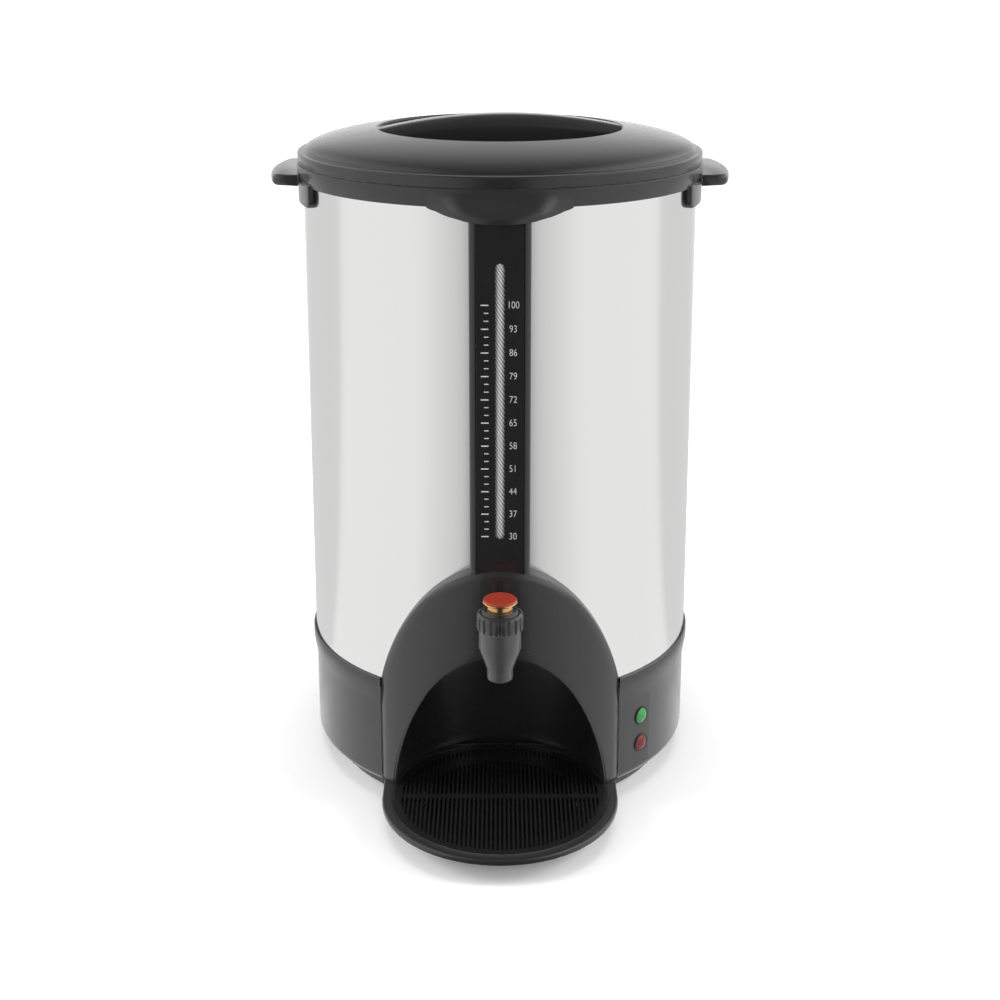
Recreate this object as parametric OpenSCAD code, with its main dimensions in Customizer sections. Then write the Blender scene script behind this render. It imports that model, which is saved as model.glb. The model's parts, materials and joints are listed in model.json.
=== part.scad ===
// Percolating coffee urn with a push tap, a sight gauge and a drip tray.
// +Z is up, the front faces -Y, and the origin is on the tank's axis at the surface it stands on.
// "Ahead" in a comment is a distance in front of that axis. All lengths are in millimetres.

/* [Tank] */
// Outer radius of the steel tank
tank_r = 140; // [136:0.5:146]
// Thickness of the steel
tank_wall = 0.8; // [0.6:0.1:1.2]
// Height of the tank's lower edge above the ground
tank_foot_z = 88; // [86:0.5:90]
// Height of the tank's floor
floor_z = 140; // [138:0.5:146]
// Height of the tank's upper rim
rim_z = 439; // [425:1:470]
// Radius of the heating well in the floor
well_r = 30; // [28:0.5:32]
// Depth of the heating well
well_depth = 10; // [8:0.5:12]

/* [Collar and handles] */
// Depth of the collar's outer skirt below its top
collar_drop = 13; // [11:0.5:16]
// Thickness of the collar's outer skirt
collar_skin = 2; // [1.5:0.1:3]
// How far the collar widens from its foot to the lid
collar_flare = 2.1; // [1:0.1:3]
// How far each side handle stands out from the tank
ear_proud = 22.3; // [18:0.1:35]
// Length of each side handle along the tank
ear_len = 89; // [70:1:110]
// Thickness of each side handle
ear_t = 7.8; // [6:0.1:10]
// Drop of the handle's top face below the lid seam
ear_drop = 5.7; // [4:0.1:5.8]
// Width of each fixing leg
leg_w = 33; // [24:1:40]
// Length of each fixing leg below the collar
leg_len = 14; // [12:0.5:20]
// Thickness of each fixing leg
leg_t = 4; // [3:0.1:5]
// Angle of each fixing leg from the front
leg_azimuth = 71.2; // [66:0.1:76]
// Half width of the visor over the gauge
visor_half_w = 47; // [40:0.5:55]
// How far the visor stands out from the tank
visor_proud = 15; // [14.5:0.1:20]
// Drop of the visor's lowest point below the lid seam
visor_drop = 21.4; // [18:0.1:26]

/* [Lid] */
// How far the lid's flange stands out from the tank
lid_proud = 3.6; // [2:0.1:6]
// Height of the flange up to the crease
lid_band = 7.4; // [6:0.1:10]
// Width of the ledge around the dome's foot
lid_ledge = 5; // [3:0.1:6]
// Rise of the dome above the crease
dome_rise = 19.2; // [14:0.2:26]
// Wall of the lid
lid_wall = 2.5; // [2:0.1:3]
// Radius of the round recess in the lid
recess_r = 86.5; // [70:0.5:95]
// Height of the recess's floor above the seam
recess_z = 5; // [4:0.5:7]
// Width of the handle bar
bar_w = 26; // [20:0.5:34]
// Height of the handle bar's crown above the seam
bar_crown = 32; // [28:0.5:40]
// Angle at which the lid stands on the urn
lid_turn = 7.5; // [0:0.5:15]

/* [Base] */
// How far the base wall lies inside the tank's outer radius
base_inset = 0.5; // [-3:0.1:2]
// Wall of the base moulding
base_wall = 3; // [2.5:0.1:3.5]
// How far the lip that holds the tank stands out from it
lip_proud = 1.9; // [1.5:0.1:6]
// Height of the lip's top
lip_z = 95; // [93:0.5:100]
// Height of the base moulding's underside
base_z = 14; // [12:0.5:16]
// How far the ring under the base lies inside the base wall
ring_inset = 13.5; // [10:0.5:17]
// Thickness of the bottom cover
cover_t = 2; // [1.6:0.1:3]
// Height of the rubber feet
foot_h = 2; // [1.5:0.1:4]

/* [Hood and cup alcove] */
// Half width of the hood
hood_half_w = 83.8; // [80:0.1:88]
// Height of the hood's crown
hood_crown_z = 191.5; // [180:0.5:200]
// How far the hood's middle stands out from the tank
hood_proud = 15; // [14.5:0.1:18]
// Wall of the hood
hood_wall = 3; // [2.5:0.1:4]
// Half width of the alcove's mouth
alcove_half_w = 73.5; // [70:0.5:76]
// Height of the alcove's crown
alcove_crown_z = 130; // [122:0.5:131]
// How far ahead the alcove's back wall lies
alcove_back = 58; // [56:0.5:66]
// Wall of the alcove liner
liner_wall = 2.4; // [2:0.1:3]

/* [Sight gauge] */
// Width of the gauge column
column_w = 40; // [36:0.5:46]
// How far the column stands out from the tank
column_proud = 11.5; // [11:0.1:13]
// Radius of the column's long edges
column_round = 4.5; // [3:0.1:5]
// Width of the gauge's front panel
panel_w = 31; // [28:0.5:32]
// Thickness of the front panel
panel_t = 1.8; // [1.2:0.1:1.8]
// Width of the slot that shows the tube
slot_w = 6.2; // [5:0.1:7]
// Height of the slot's lower end
slot_low_z = 213.4; // [205:0.1:225]
// Length of the slot
slot_len = 185.1; // [160:0.1:190]
// Outer radius of the sight tube
tube_r = 3.4; // [3:0.05:3.5]
// Bore radius of the sight tube
tube_bore_r = 2.5; // [2:0.05:2.6]

/* [Tap] */
// How far the tap's axis lies in front of the tank
tap_proud = 35; // [33:0.5:42]
// Height of the tap's inlet
shank_z = 153; // [150.5:0.5:155]
// Height of the nozzle's mouth
nozzle_z = 125; // [118:0.5:127]
// Outer radius of the nozzle
nozzle_r = 8.5; // [8:0.1:10]
// Outer radius of the tap's barrel
barrel_r = 13.8; // [13.2:0.1:15]
// Outer radius of the knurled bonnet ring
bonnet_r = 15.3; // [14.8:0.1:18]
// Outer radius of the push button
button_r = 11.5; // [10:0.1:13]
// Travel of the push button
button_travel = 3; // [2:0.1:3]
// Outer radius of the tap's shank
shank_r = 6.4; // [6:0.1:7]
// Bore radius of the tap's shank
shank_bore_r = 4.5; // [4:0.1:5]

/* [Percolator] */
// Outer radius of the pump tube
pump_r = 6; // [5:0.1:7]
// Wall of the pump tube and the basket
pump_wall = 0.8; // [0.6:0.1:1]
// Outer radius of the coffee basket
basket_r = 68; // [55:0.5:75]
// Height of the coffee basket
basket_h = 82; // [60:1:95]
// Height of the basket's underside
basket_z = 322; // [300:1:330]

/* [Drip tray] */
// Radius of the tray's round front
tray_r = 82; // [80:0.5:83]
// How far ahead of the alcove's back wall the centre of the tray's round front lies
tray_out = 81; // [78:0.5:86]
// Height of the tray's top face
tray_top_z = 18.6; // [18:0.1:19]
// Thickness of the tray's rim
tray_rim = 4; // [3.5:0.1:4.5]
// Radius of the tub under the tray
tub_r = 56; // [45:0.5:58]
// Radius of the drip grid
grid_r = 74; // [70:0.5:76]
// Thickness of the drip grid
grid_t = 1.9; // [1.5:0.1:2]
// Distance between the grid's slots
grid_pitch = 3; // [2.8:0.1:6]

/* [Lamps and inlet] */
// Angle of the two lamps from the front
lamp_azimuth = 46.5; // [44:0.5:60]
// Height of the green lamp
lamp_green_z = 57.7; // [52:0.1:62]
// Height of the red lamp
lamp_red_z = 36.6; // [30:0.1:40]
// Radius of each lamp lens
lamp_r = 5.5; // [4.5:0.1:7]
// Height of the power inlet's middle
inlet_z = 48; // [42:1:56]

/* [Hidden] */
$fn = 96;
// Clearance between fixed pieces, and around pieces that lift off
gap = 0.3;
lift_gap = 0.6;
// Radial clearance of a running fit
run_gap = 0.08;
// Overshoot of a cut past the face it opens
cut = 1;

seam_z = rim_z + 6;
tank_in_r = tank_r - tank_wall;
ear_reach = tank_r + ear_proud;
visor_reach = tank_r + visor_proud;
lid_r = tank_r + lid_proud;
base_r = tank_r - base_inset;
lip_r = tank_r + lip_proud;
ring_r = base_r - ring_inset;
hood_reach = tank_r + hood_proud;
column_reach = tank_r + column_proud;
tap_reach = tank_r + tap_proud;
tray_ahead = alcove_back + tray_out;
well_z = floor_z - well_depth;
floor_t = 1;

collar_low_z = seam_z - collar_drop;
collar_r = tank_r + 0.2 + collar_skin;
collar_in_r = tank_in_r - 4.7;
band_r = collar_r + collar_flare;
band_h = 3.6;
seam_gap = 0.5;
ear_top_z = seam_z - ear_drop;
ear_corner_r = 8;
ear_edge_r = 3;
leg_screw_z = collar_low_z - leg_len + 6.5;
leg_azimuths = [leg_azimuth, 180 - leg_azimuth, 180 + leg_azimuth, -leg_azimuth];

// The visor bulges as a round boss: a circle through its two corners and its front
visor_side_ahead = sqrt(pow(collar_r, 2) - pow(visor_half_w, 2));
visor_sag = visor_reach - visor_side_ahead;
visor_r = (pow(visor_half_w, 2) + pow(visor_sag, 2)) / (2 * visor_sag);
visor_ahead = visor_reach - visor_r;
visor_low_z = seam_z - visor_drop;
visor_edge_r = 147;
visor_top_z = seam_z - seam_gap - 0.4;
visor_tuck = 0.4;
notch_half_w = 5.5;
notch_z = seam_z - seam_gap - 2;

lid_crease_z = seam_z + lid_band;
dome_r = lid_r - lid_ledge;
recess_floor_z = seam_z + recess_z;
lid_skirt_r = collar_in_r - lift_gap;
lid_skirt_drop = 9;
liner_plate_t = 0.8;
lid_boss_at = lid_r - 33.6;
lid_boss_r = 4;
lid_screw_r = 1.5;
bar_end_z = dome_z(recess_r);
bar_sag = seam_z + bar_crown - bar_end_z;
bar_arc_r = (pow(recess_r, 2) + pow(bar_sag, 2)) / (2 * bar_sag);
bar_round = 5;
bar_root = bar_crown + 8;

base_round = 5.5;
flare_z = 73;
ledge_w = 5.3;
flange_in_r = ring_r - 10;
mouth_half_w = hood_half_w + 0.4;
ring_in_r = ring_r - 8;
cover_z = foot_h;
cover_top_z = cover_z + cover_t;
cover_screw_at = ring_r - 5;
cover_screw_azimuths = [60, 130, 230, 300];
cover_screw_r = 2;
cover_head_r = 3.9;
cover_boss_r = 4.5;
cover_boss_h = 10;
foot_at = ring_r - 18;
foot_r = 11;
foot_stem_r = 4;
foot_azimuths = [45, 135, 225, 315];
post_at = ring_r - 16;
post_r = 5;
post_azimuths = [95, 180, 265];
post_screw_r = 2;
post_screw_len = 12;
post_head_r = 3.6;

// The hood's plan is a circle through its front and its two sides
hood_side_ahead = sqrt(pow(tank_r + gap, 2) - pow(hood_half_w, 2));
hood_sag = hood_reach - hood_side_ahead;
hood_r = (pow(hood_half_w, 2) + pow(hood_sag, 2)) / (2 * hood_sag);
hood_ahead = hood_reach - hood_r;
hood_back = hood_side_ahead - 8.6;
mouth_ahead = hood_side_ahead - 32.6;
hood_foot_z = tray_top_z + 0.4;
hood_crown_pull = 60.7;
hood_side_pull_z = 103.6;
hood_spring_z = 88.1;
alcove_crown_pull = 56;
alcove_side_pull_z = 38;
alcove_scoop_r = 76;
alcove_spring_z = hood_foot_z + 1;
bay_half_w = tray_r + 0.6;
bay_wall = 1.2;
bay_back = alcove_back - 3;
bay_top_z = hood_foot_z + 0.2;
rib_half_w = 20;
rib_h = 1.2;
rib_proud = 0.5;
rib_z = alcove_crown_z + 3.6;
lug_zs = [34, 66];
lug_x = 79;
lug_ahead = hood_back - 1.6;
lug_t = 2.4;
hood_screw_r = 1.5;

column_low_z = hood_crown_z - 8;
column_top_z = collar_low_z - 2;
channel_half_w = 5.6;
panel_back = column_reach - panel_t;
tube_ahead = panel_back - 0.2 - tube_r;
tube_low_z = shank_z + 6;
tube_top_z = column_top_z - 7;
tee_r = 5.6;
tee_top_z = shank_z + 15;
seal_h = 5;

body_top_z = 170;
barrel_top_z = 161;
taper_top_z = 147.4;
taper_low_z = 132.4;
neck_r = barrel_r - 1.4;
chamber_r = 10;
seat_z = 139.5;
seat_t = 2;
seat_r = 4.5;
nozzle_bore_r = 6;
guide_z = 162;
guide_t = 4;
bonnet_top_z = 172.4;
cap_ring_r = 11.75;
cap_ring_z = 175;
sleeve_r = 8.4;
sleeve_low_z = 169.5;
cap_flare_z = cap_ring_z + button_travel + 0.1;
cap_rim_z = cap_flare_z + 1.3;
button_z = cap_rim_z + 1;
button_t = 1.2;
cap_low_z = button_z - 2.6;
stem_r = 2.5;
plug_r = 5.6;
plug_h = 5;
spring_r = 6.2;
spring_wire_r = 0.5;
spring_turns = 3;
flange_t = 2;
flange_r = 14;
tank_nut_t = 4;
washer_t = 1.6;
washer_r = 10;
knurl_count = 30;

stem_top_z = collar_low_z - 8;
foot_bell_r = well_r - 3;
basket_lid_z = basket_z + basket_h;
sleeve_gap = 0.5;

tray_low_z = tray_top_z - tray_rim;
tray_back = alcove_back + 6;
tub_low_z = cover_top_z + 0.4;
tub_wall = 2;
grid_z = tray_top_z - 0.1 - grid_t;
grid_field_r = grid_r - 5;
grid_slot_w = 1.6;
tray_floor_t = 1;

lamp_barrel_r = 4.8;
lamp_zs = [lamp_green_z, lamp_red_z];
inlet_w = 27.5;
inlet_h = 20;
inlet_flange_w = 50;
inlet_flange_h = 26;
inlet_depth = 17;
inlet_cavity_w = 24.2;
inlet_cavity_h = 16.4;
pad_face = base_r + 2;
pad_w = 62;
pad_h = 38;
inlet_screw_x = 20;
inlet_screw_r = 1.6;

plate_t = 4.8;
plate_r = 62;
element_at = 48;
element_r = 4;
element_z = floor_z - floor_t - plate_t - 2.4;
terminal_r = 2.2;
terminal_len = 14;
sensor_ahead = -(plate_r + 14);
sensor_x = 42;
sensor_r = 8.5;
sensor_h = 8;
block_size = [44, 18, 16];
block_ahead = 18 - post_at;
wire_r = 1.4;
lead_bend_z = floor_z - 80;

charcoal = [0.17, 0.17, 0.18];
black = [0.08, 0.08, 0.085];
steel = [0.80, 0.80, 0.79];
rubber = [0.12, 0.12, 0.12];
silicone = [0.75, 0.73, 0.68];
gold = [0.85, 0.62, 0.42];

// ---- Shared shapes ----

// Height of the lid's dome at a distance from its axis
function dome_z(r) = lid_crease_z + dome_rise * sqrt(1 - pow(r / dome_r, 2));

// Quarter of an ellipse in a profile, from one angle to another
function ellipse_arc(a, b, z, from, to, steps = 12) =
    [for (i = [0:steps]) let (t = from + (to - from) * i / steps) [a * cos(t), z + b * sin(t)]];

// Round corner in a profile
function round_corner(x, z, r, from, to, steps = 6) =
    [for (i = [0:steps]) let (t = from + (to - from) * i / steps) [x + r * cos(t), z + r * sin(t)]];

// Right half of an arch, from its crown down to where its side turns straight
function arch_half(half_w, crown_z, crown_pull, side_pull_z, spring_z, steps = 18) =
    [for (i = [0:steps]) let (t = i / steps, u = 1 - t)
        [3 * u * u * t * crown_pull + (3 * u + t) * t * t * half_w,
         (u + 3 * t) * u * u * crown_z + 3 * u * t * t * side_pull_z + t * t * t * spring_z]];

function mirrored(points) = [for (i = [len(points) - 1:-1:1]) [-points[i][0], points[i][1]]];

// Outlines of the hood and of the alcove, moved outwards by grow
function hood_outline(grow, foot_z) =
    let (half = arch_half(hood_half_w + grow, hood_crown_z + grow, hood_crown_pull + grow,
                          hood_side_pull_z, hood_spring_z))
    concat(half, [[hood_half_w + grow, foot_z], [-hood_half_w - grow, foot_z]], mirrored(half));

function alcove_outline(grow, foot_z) =
    let (half = arch_half(alcove_half_w + grow, alcove_crown_z + grow, alcove_crown_pull + grow,
                          alcove_side_pull_z, alcove_spring_z))
    concat(half, [[alcove_half_w + grow, foot_z], [-alcove_half_w - grow, foot_z]], mirrored(half));

// Ring between two radii and two heights
module ring(outer, inner, low, high) {
    difference() {
        translate([0, 0, low]) cylinder(r = outer, h = high - low);
        translate([0, 0, low - cut]) cylinder(r = inner, h = high - low + 2 * cut);
    }
}

// Extrudes an outline drawn in X and Z between two distances ahead of the axis
module ahead(from, to) {
    translate([0, -from, 0]) rotate([90, 0, 0]) linear_extrude(to - from) children();
}

// Places children at an angle from the front, turned to the right
module azimuth(angle) {
    rotate([0, 0, angle]) children();
}

// Cylinder that lies along the line of sight, between two distances ahead of the axis
module rod_ahead(r, from, to, x = 0, z = 0) {
    translate([x, -from, z]) rotate([90, 0, 0]) cylinder(r = r, h = to - from);
}

// Box given by its half width, its distances ahead and its heights
module slab(half_w, from, to, low, high) {
    translate([-half_w, -to, low]) cube([2 * half_w, to - from, high - low]);
}

// ---- Tank ----

module steel_tank() {
    color(steel)
    difference() {
        rotate_extrude() polygon([
            [0, well_z - floor_t], [well_r + floor_t, well_z - floor_t],
            [well_r + floor_t, floor_z - floor_t], [tank_in_r, floor_z - floor_t],
            [tank_in_r, tank_foot_z], [tank_r, tank_foot_z], [tank_r, rim_z],
            [tank_in_r, rim_z], [tank_in_r, floor_z], [well_r, floor_z],
            [well_r, well_z], [0, well_z]]);
        ahead(mouth_ahead, tank_r + 5)
            polygon(alcove_outline(liner_wall + gap, tank_foot_z - cut));
        rod_ahead(shank_r + 0.2, tank_in_r - 5, tank_r + 5, z = shank_z);
        for (a = leg_azimuths) azimuth(a)
            rod_ahead(cover_screw_r + 0.2, tank_in_r - 5, tank_r + 5, z = leg_screw_z);
    }
}

module tank_posts() {
    color(steel)
    for (a = post_azimuths) azimuth(a) translate([0, -post_at, 0])
        difference() {
            translate([0, 0, cover_top_z]) cylinder(r = post_r, h = floor_z - floor_t - cover_top_z);
            translate([0, 0, cover_top_z - cut]) cylinder(r = post_screw_r, h = post_screw_len + cut);
        }
}

module post_screws() {
    color(steel)
    for (a = post_azimuths) azimuth(a) translate([0, -post_at, 0]) {
        translate([0, 0, cover_z + 0.1]) cylinder(r = post_head_r, h = 1.1);
        translate([0, 0, cover_z + 0.6]) cylinder(r = post_screw_r - 0.05, h = post_screw_len);
    }
}

// ---- Collar with its side handles ----

module collar_ring() {
    rotate_extrude() polygon([
        [collar_in_r, collar_low_z + 1], [tank_in_r - 0.2, collar_low_z + 1],
        [tank_in_r - 0.2, rim_z + 0.3], [tank_r + 0.2, rim_z + 0.3],
        [tank_r + 0.2, collar_low_z], [collar_r, collar_low_z],
        [band_r, seam_z - seam_gap - band_h], [band_r, seam_z - seam_gap],
        [tank_r + 0.6, seam_z - seam_gap],
        [tank_r + 0.6, seam_z], [collar_in_r, seam_z]]);
}

// Disc with a rounded rim, one of the corners that a handle's plate is wrapped around
module ear_button() {
    rotate_extrude($fn = 24) union() {
        square([ear_corner_r - ear_edge_r, ear_t]);
        translate([ear_corner_r - ear_edge_r, ear_edge_r]) circle(r = ear_edge_r, $fn = 24);
        translate([ear_corner_r - ear_edge_r, ear_t - ear_edge_r]) circle(r = ear_edge_r, $fn = 24);
        translate([0, ear_edge_r]) square([ear_corner_r, ear_t - 2 * ear_edge_r]);
    }
}

module side_handle() {
    reach = ear_reach - ear_corner_r;
    half_angle = asin((ear_len / 2 - ear_corner_r) / reach);
    root_r = collar_r - 4;
    difference() {
        translate([0, 0, ear_top_z - ear_t]) hull() {
            for (i = [-3:3]) azimuth(i * half_angle / 3) translate([0, -reach, 0]) ear_button();
            for (side = [-1, 1]) translate([side * (ear_len / 2 - ear_corner_r), -root_r + 12, 0])
                ear_button();
        }
        cylinder(r = tank_r + 0.2 + collar_skin / 2, h = seam_z);
    }
}

module fixing_leg() {
    low_z = collar_low_z - leg_len;
    round_r = 6;
    intersection() {
        ring(tank_r + 0.2 + leg_t, tank_r + 0.2, low_z, collar_low_z + 2);
        ahead(tank_r - 20, tank_r + 20) union() {
            translate([-leg_w / 2, low_z + round_r]) square([leg_w, leg_len + 2 - round_r]);
            translate([-leg_w / 2 + round_r, low_z]) square([leg_w - 2 * round_r, leg_len]);
            for (side = [-1, 1]) translate([side * (leg_w / 2 - round_r), low_z + round_r])
                circle(r = round_r);
        }
    }
}

// Point of the visor's face: across from -1 to 1, down from 0 at the lid to 1 at its lower edge
function visor_point(across, down) =
    let (x = across * visor_half_w,
         low_z = visor_low_z + visor_edge_r - sqrt(pow(visor_edge_r, 2) - x * x),
         z = visor_top_z + (low_z - visor_top_z) * down,
         skirt_r = collar_r + collar_flare * max(0, z - collar_low_z) / (seam_z - collar_low_z),
         skirt = sqrt(pow(skirt_r, 2) - x * x),
         bulge = visor_ahead + sqrt(pow(visor_r, 2) - x * x) - sqrt(pow(collar_r, 2) - x * x))
    [x, -(skirt - visor_tuck + bulge * (1 - pow(1 - down, 2))), z];

module visor() {
    face = [for (down = [0:0.2:1], across = [-1:0.1:1]) visor_point(across, down)];
    back = [for (down = [0, 1], across = [-1:0.1:1]) visor_point(across, down) + [0, 25, 0]];
    points = concat(face, back);
    hull() polyhedron(points, [for (i = [0:len(points) - 3]) [i, i + 1, i + 2]]);
}

module collar() {
    color(charcoal)
    difference() {
        union() {
            collar_ring();
            for (a = [90, -90]) azimuth(a) side_handle();
            for (a = leg_azimuths) azimuth(a) fixing_leg();
            difference() {
                visor();
                cylinder(r = tank_r + 0.2, h = seam_z);
            }
        }
        translate([0, 0, visor_low_z - 5]) linear_extrude(column_top_z + gap - visor_low_z + 5)
            column_plan(gap, tank_r - 20);
        slab(notch_half_w, band_r - 0.8, band_r + cut, notch_z - 0.4, notch_z + 0.4);
        for (a = leg_azimuths) azimuth(a)
            rod_ahead(cover_screw_r, tank_r - cut, tank_r + leg_t - 0.8, z = leg_screw_z);
    }
}

module handle_screws() {
    color(steel)
    for (a = leg_azimuths) azimuth(a) {
        rod_ahead(4.2, tank_in_r - 2.2, tank_in_r - 0.1, z = leg_screw_z);
        rod_ahead(cover_screw_r - 0.05, tank_in_r - 1, tank_r + leg_t - 1, z = leg_screw_z);
    }
}

// ---- Base ----

module base_profile() {
    ledge_r = tank_r + gap - ledge_w;
    wall_in_r = base_r - base_wall;
    polygon(concat(
        [[flange_in_r, base_z]],
        round_corner(base_r - base_round, base_z + base_round, base_round, -90, 0),
        [[base_r, flare_z], [lip_r, tank_foot_z], [lip_r, lip_z - 1], [lip_r - 0.6, lip_z],
         [tank_r + gap, lip_z], [tank_r + gap, tank_foot_z], [ledge_r, tank_foot_z],
         [ledge_r, tank_foot_z - base_wall], [wall_in_r, tank_foot_z - 2 * base_wall],
         [wall_in_r, base_z + base_wall], [flange_in_r, base_z + base_wall]]));
}

module base_shell() {
    color(black)
    difference() {
        union() {
            rotate_extrude() base_profile();
            difference() {
                slab(pad_w / 2, -pad_face, -(base_r - 20), inlet_z - pad_h / 2, inlet_z + pad_h / 2);
                translate([0, 0, base_z]) cylinder(r = base_r - base_wall, h = lip_z);
            }
            for (a = cover_screw_azimuths) azimuth(a) translate([0, -cover_screw_at, base_z + cut])
                cylinder(r = cover_boss_r, h = base_wall + cover_boss_h - cut);
        }
        slab(mouth_half_w, mouth_ahead, lip_r + 5, base_z - cut, lip_z + cut);
        slab(inlet_w / 2 + 0.2, -pad_face - cut, -(base_r - 20), inlet_z - inlet_h / 2 - 0.2,
             inlet_z + inlet_h / 2 + 0.2);
        for (side = [-1, 1])
            rod_ahead(inlet_screw_r - 0.2, -pad_face - cut, -(base_r - 20), side * inlet_screw_x, inlet_z);
        for (z = lamp_zs) azimuth(lamp_azimuth)
            rod_ahead(lamp_barrel_r + 0.1, base_r - 20, base_r + 5, z = z);
        for (a = cover_screw_azimuths) azimuth(a) translate([0, -cover_screw_at, base_z - cut])
            cylinder(r = cover_screw_r, h = base_wall + cover_boss_h - 1);
    }
}

module bottom_cover() {
    color(black)
    difference() {
        union() {
            translate([0, 0, cover_z]) cylinder(r = ring_r, h = cover_t);
            ring(ring_r, ring_in_r, cover_z, base_z);
            for (a = cover_screw_azimuths) azimuth(a) translate([0, -cover_screw_at, cover_z])
                cylinder(r = cover_boss_r + 1, h = base_z - cover_z);
        }
        slab(bay_half_w + bay_wall + gap, bay_back - bay_wall - gap, ring_r + 5,
             cover_top_z, base_z + cut);
        for (a = cover_screw_azimuths) azimuth(a) translate([0, -cover_screw_at, 0]) {
            cylinder(r = cover_screw_r + 0.2, h = base_z + cut);
            cylinder(r = cover_head_r + 0.3, h = cover_z + 3);
        }
        for (a = foot_azimuths) azimuth(a) translate([0, -foot_at, 0])
            cylinder(r = foot_stem_r + 0.1, h = base_z);
        for (a = post_azimuths) azimuth(a) translate([0, -post_at, 0]) {
            cylinder(r = post_screw_r + 0.2, h = base_z);
            cylinder(r = post_head_r + 0.4, h = cover_z + 1.2);
        }
    }
}

module cover_screws() {
    color(steel)
    for (a = cover_screw_azimuths) azimuth(a) translate([0, -cover_screw_at, cover_z]) {
        translate([0, 0, 0.6]) cylinder(r = cover_head_r, h = 2.4);
        translate([0, 0, 1]) cylinder(r = cover_screw_r - 0.05, h = base_z + base_wall + 5 - cover_z);
    }
}

module rubber_feet() {
    color(rubber)
    for (a = foot_azimuths) azimuth(a) translate([0, -foot_at, 0]) {
        cylinder(r = foot_r, h = foot_h);
        cylinder(r = foot_stem_r, h = foot_h + cover_t);
    }
}

// ---- Hood and cup alcove ----

module hood_plan(inset) {
    translate([0, -hood_ahead, 0]) cylinder(r = hood_r - inset, h = hood_crown_z + 10);
}

module gauge_pocket() {
    translate([0, 0, column_low_z - gap]) linear_extrude(seam_z - column_low_z)
        column_plan(gap, tank_r - 20);
}

module hood() {
    color(black)
    difference() {
        union() {
            intersection() {
                ahead(hood_back, hood_reach + 5) polygon(hood_outline(0, hood_foot_z));
                hood_plan(0);
            }
            intersection() {
                slab(rib_half_w, hood_back, hood_reach + 5, rib_z, rib_z + rib_h);
                hood_plan(-rib_proud);
            }
        }
        intersection() {
            ahead(hood_back - cut, hood_reach + 5) polygon(hood_outline(-hood_wall, hood_foot_z - cut));
            hood_plan(hood_wall);
        }
        translate([0, 0, tank_foot_z - 1]) cylinder(r = tank_r + gap, h = hood_crown_z);
        ahead(hood_back - cut, hood_reach + 5) polygon(alcove_outline(0, hood_foot_z - cut));
        rod_ahead(shank_r + 0.3, hood_back, hood_reach + 5, z = shank_z);
        gauge_pocket();
    }
    color(black)
    for (side = [-1, 1], z = lug_zs) difference() {
        rod_ahead(2.8, lug_ahead + 0.1, hood_back + 8, side * lug_x, z);
        rod_ahead(hood_screw_r - 0.3, lug_ahead, hood_back + 7, side * lug_x, z);
    }
}

// Space of the alcove: an arched tunnel that ends in an upright round scoop
module alcove_space(grow, foot_z, front) {
    intersection() {
        ahead(alcove_back - grow - 1, front) polygon(alcove_outline(grow, foot_z));
        union() {
            translate([0, -(alcove_back + alcove_scoop_r), 0])
                cylinder(r = alcove_scoop_r + grow, h = hood_crown_z);
            slab(alcove_scoop_r + grow + 5, alcove_back + alcove_scoop_r, front, 0, hood_crown_z);
        }
    }
}

module alcove_liner() {
    bay_front = hood_back - 1;
    color(black)
    difference() {
        union() {
            alcove_space(liner_wall, bay_top_z + 0.3, hood_reach);
            slab(bay_half_w + bay_wall, bay_back - bay_wall, bay_front,
                 cover_top_z, bay_top_z + liner_wall);
            for (side = [-1, 1], z = lug_zs)
                translate([side * (lug_x - 6) - 9, -lug_ahead, z - 4]) cube([18, lug_t, 8]);
        }
        slab(bay_half_w, bay_back, bay_front + cut, cover_top_z - cut, bay_top_z);
        alcove_space(0, bay_top_z - 3, hood_reach + cut);
        difference() {
            slab(hood_half_w + 10, hood_back - 30, hood_reach + 10, bay_top_z - 3, hood_crown_z);
            hood_plan(hood_wall + 0.2);
        }
        for (side = [-1, 1], z = lug_zs)
            rod_ahead(hood_screw_r + 0.2, lug_ahead - lug_t - cut, lug_ahead + cut, side * lug_x, z);
    }
}

module hood_screws() {
    color(steel)
    for (side = [-1, 1], z = lug_zs) {
        rod_ahead(2.7, lug_ahead - lug_t - 2, lug_ahead - lug_t - 0.05, side * lug_x, z);
        rod_ahead(hood_screw_r - 0.35, lug_ahead - lug_t - 1, lug_ahead + 7, side * lug_x, z);
    }
}

// ---- Sight gauge ----

// Plan of the column, moved outwards by grow and reaching back to a distance ahead of the axis
module column_plan(grow = 0, back = tank_r - 8) {
    half = column_w / 2 + grow;
    front = column_reach + grow;
    round_r = column_round + grow;
    union() {
        translate([-half, round_r - front]) square([2 * half, front - round_r - back]);
        translate([round_r - half, -front]) square([2 * (half - round_r), round_r + 1]);
        for (side = [-1, 1]) translate([side * (half - round_r), round_r - front]) circle(r = round_r);
    }
}

module gauge_column() {
    height = column_top_z - column_low_z;
    color(black)
    difference() {
        translate([0, 0, column_low_z]) linear_extrude(height) column_plan();
        cylinder(r = tank_r + gap, h = seam_z);
        slab(channel_half_w, tank_r - 20, panel_back + cut, column_low_z - cut, column_top_z - 3);
        slab(panel_w / 2 + gap, panel_back, column_reach + cut, column_low_z - cut, column_top_z + cut);
        for (side = [-1, 1]) translate([side * 12.5, 0, 0])
            slab(4, tank_r - 20, tank_r + 7, column_low_z + 6, column_top_z - 6);
    }
}

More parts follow.
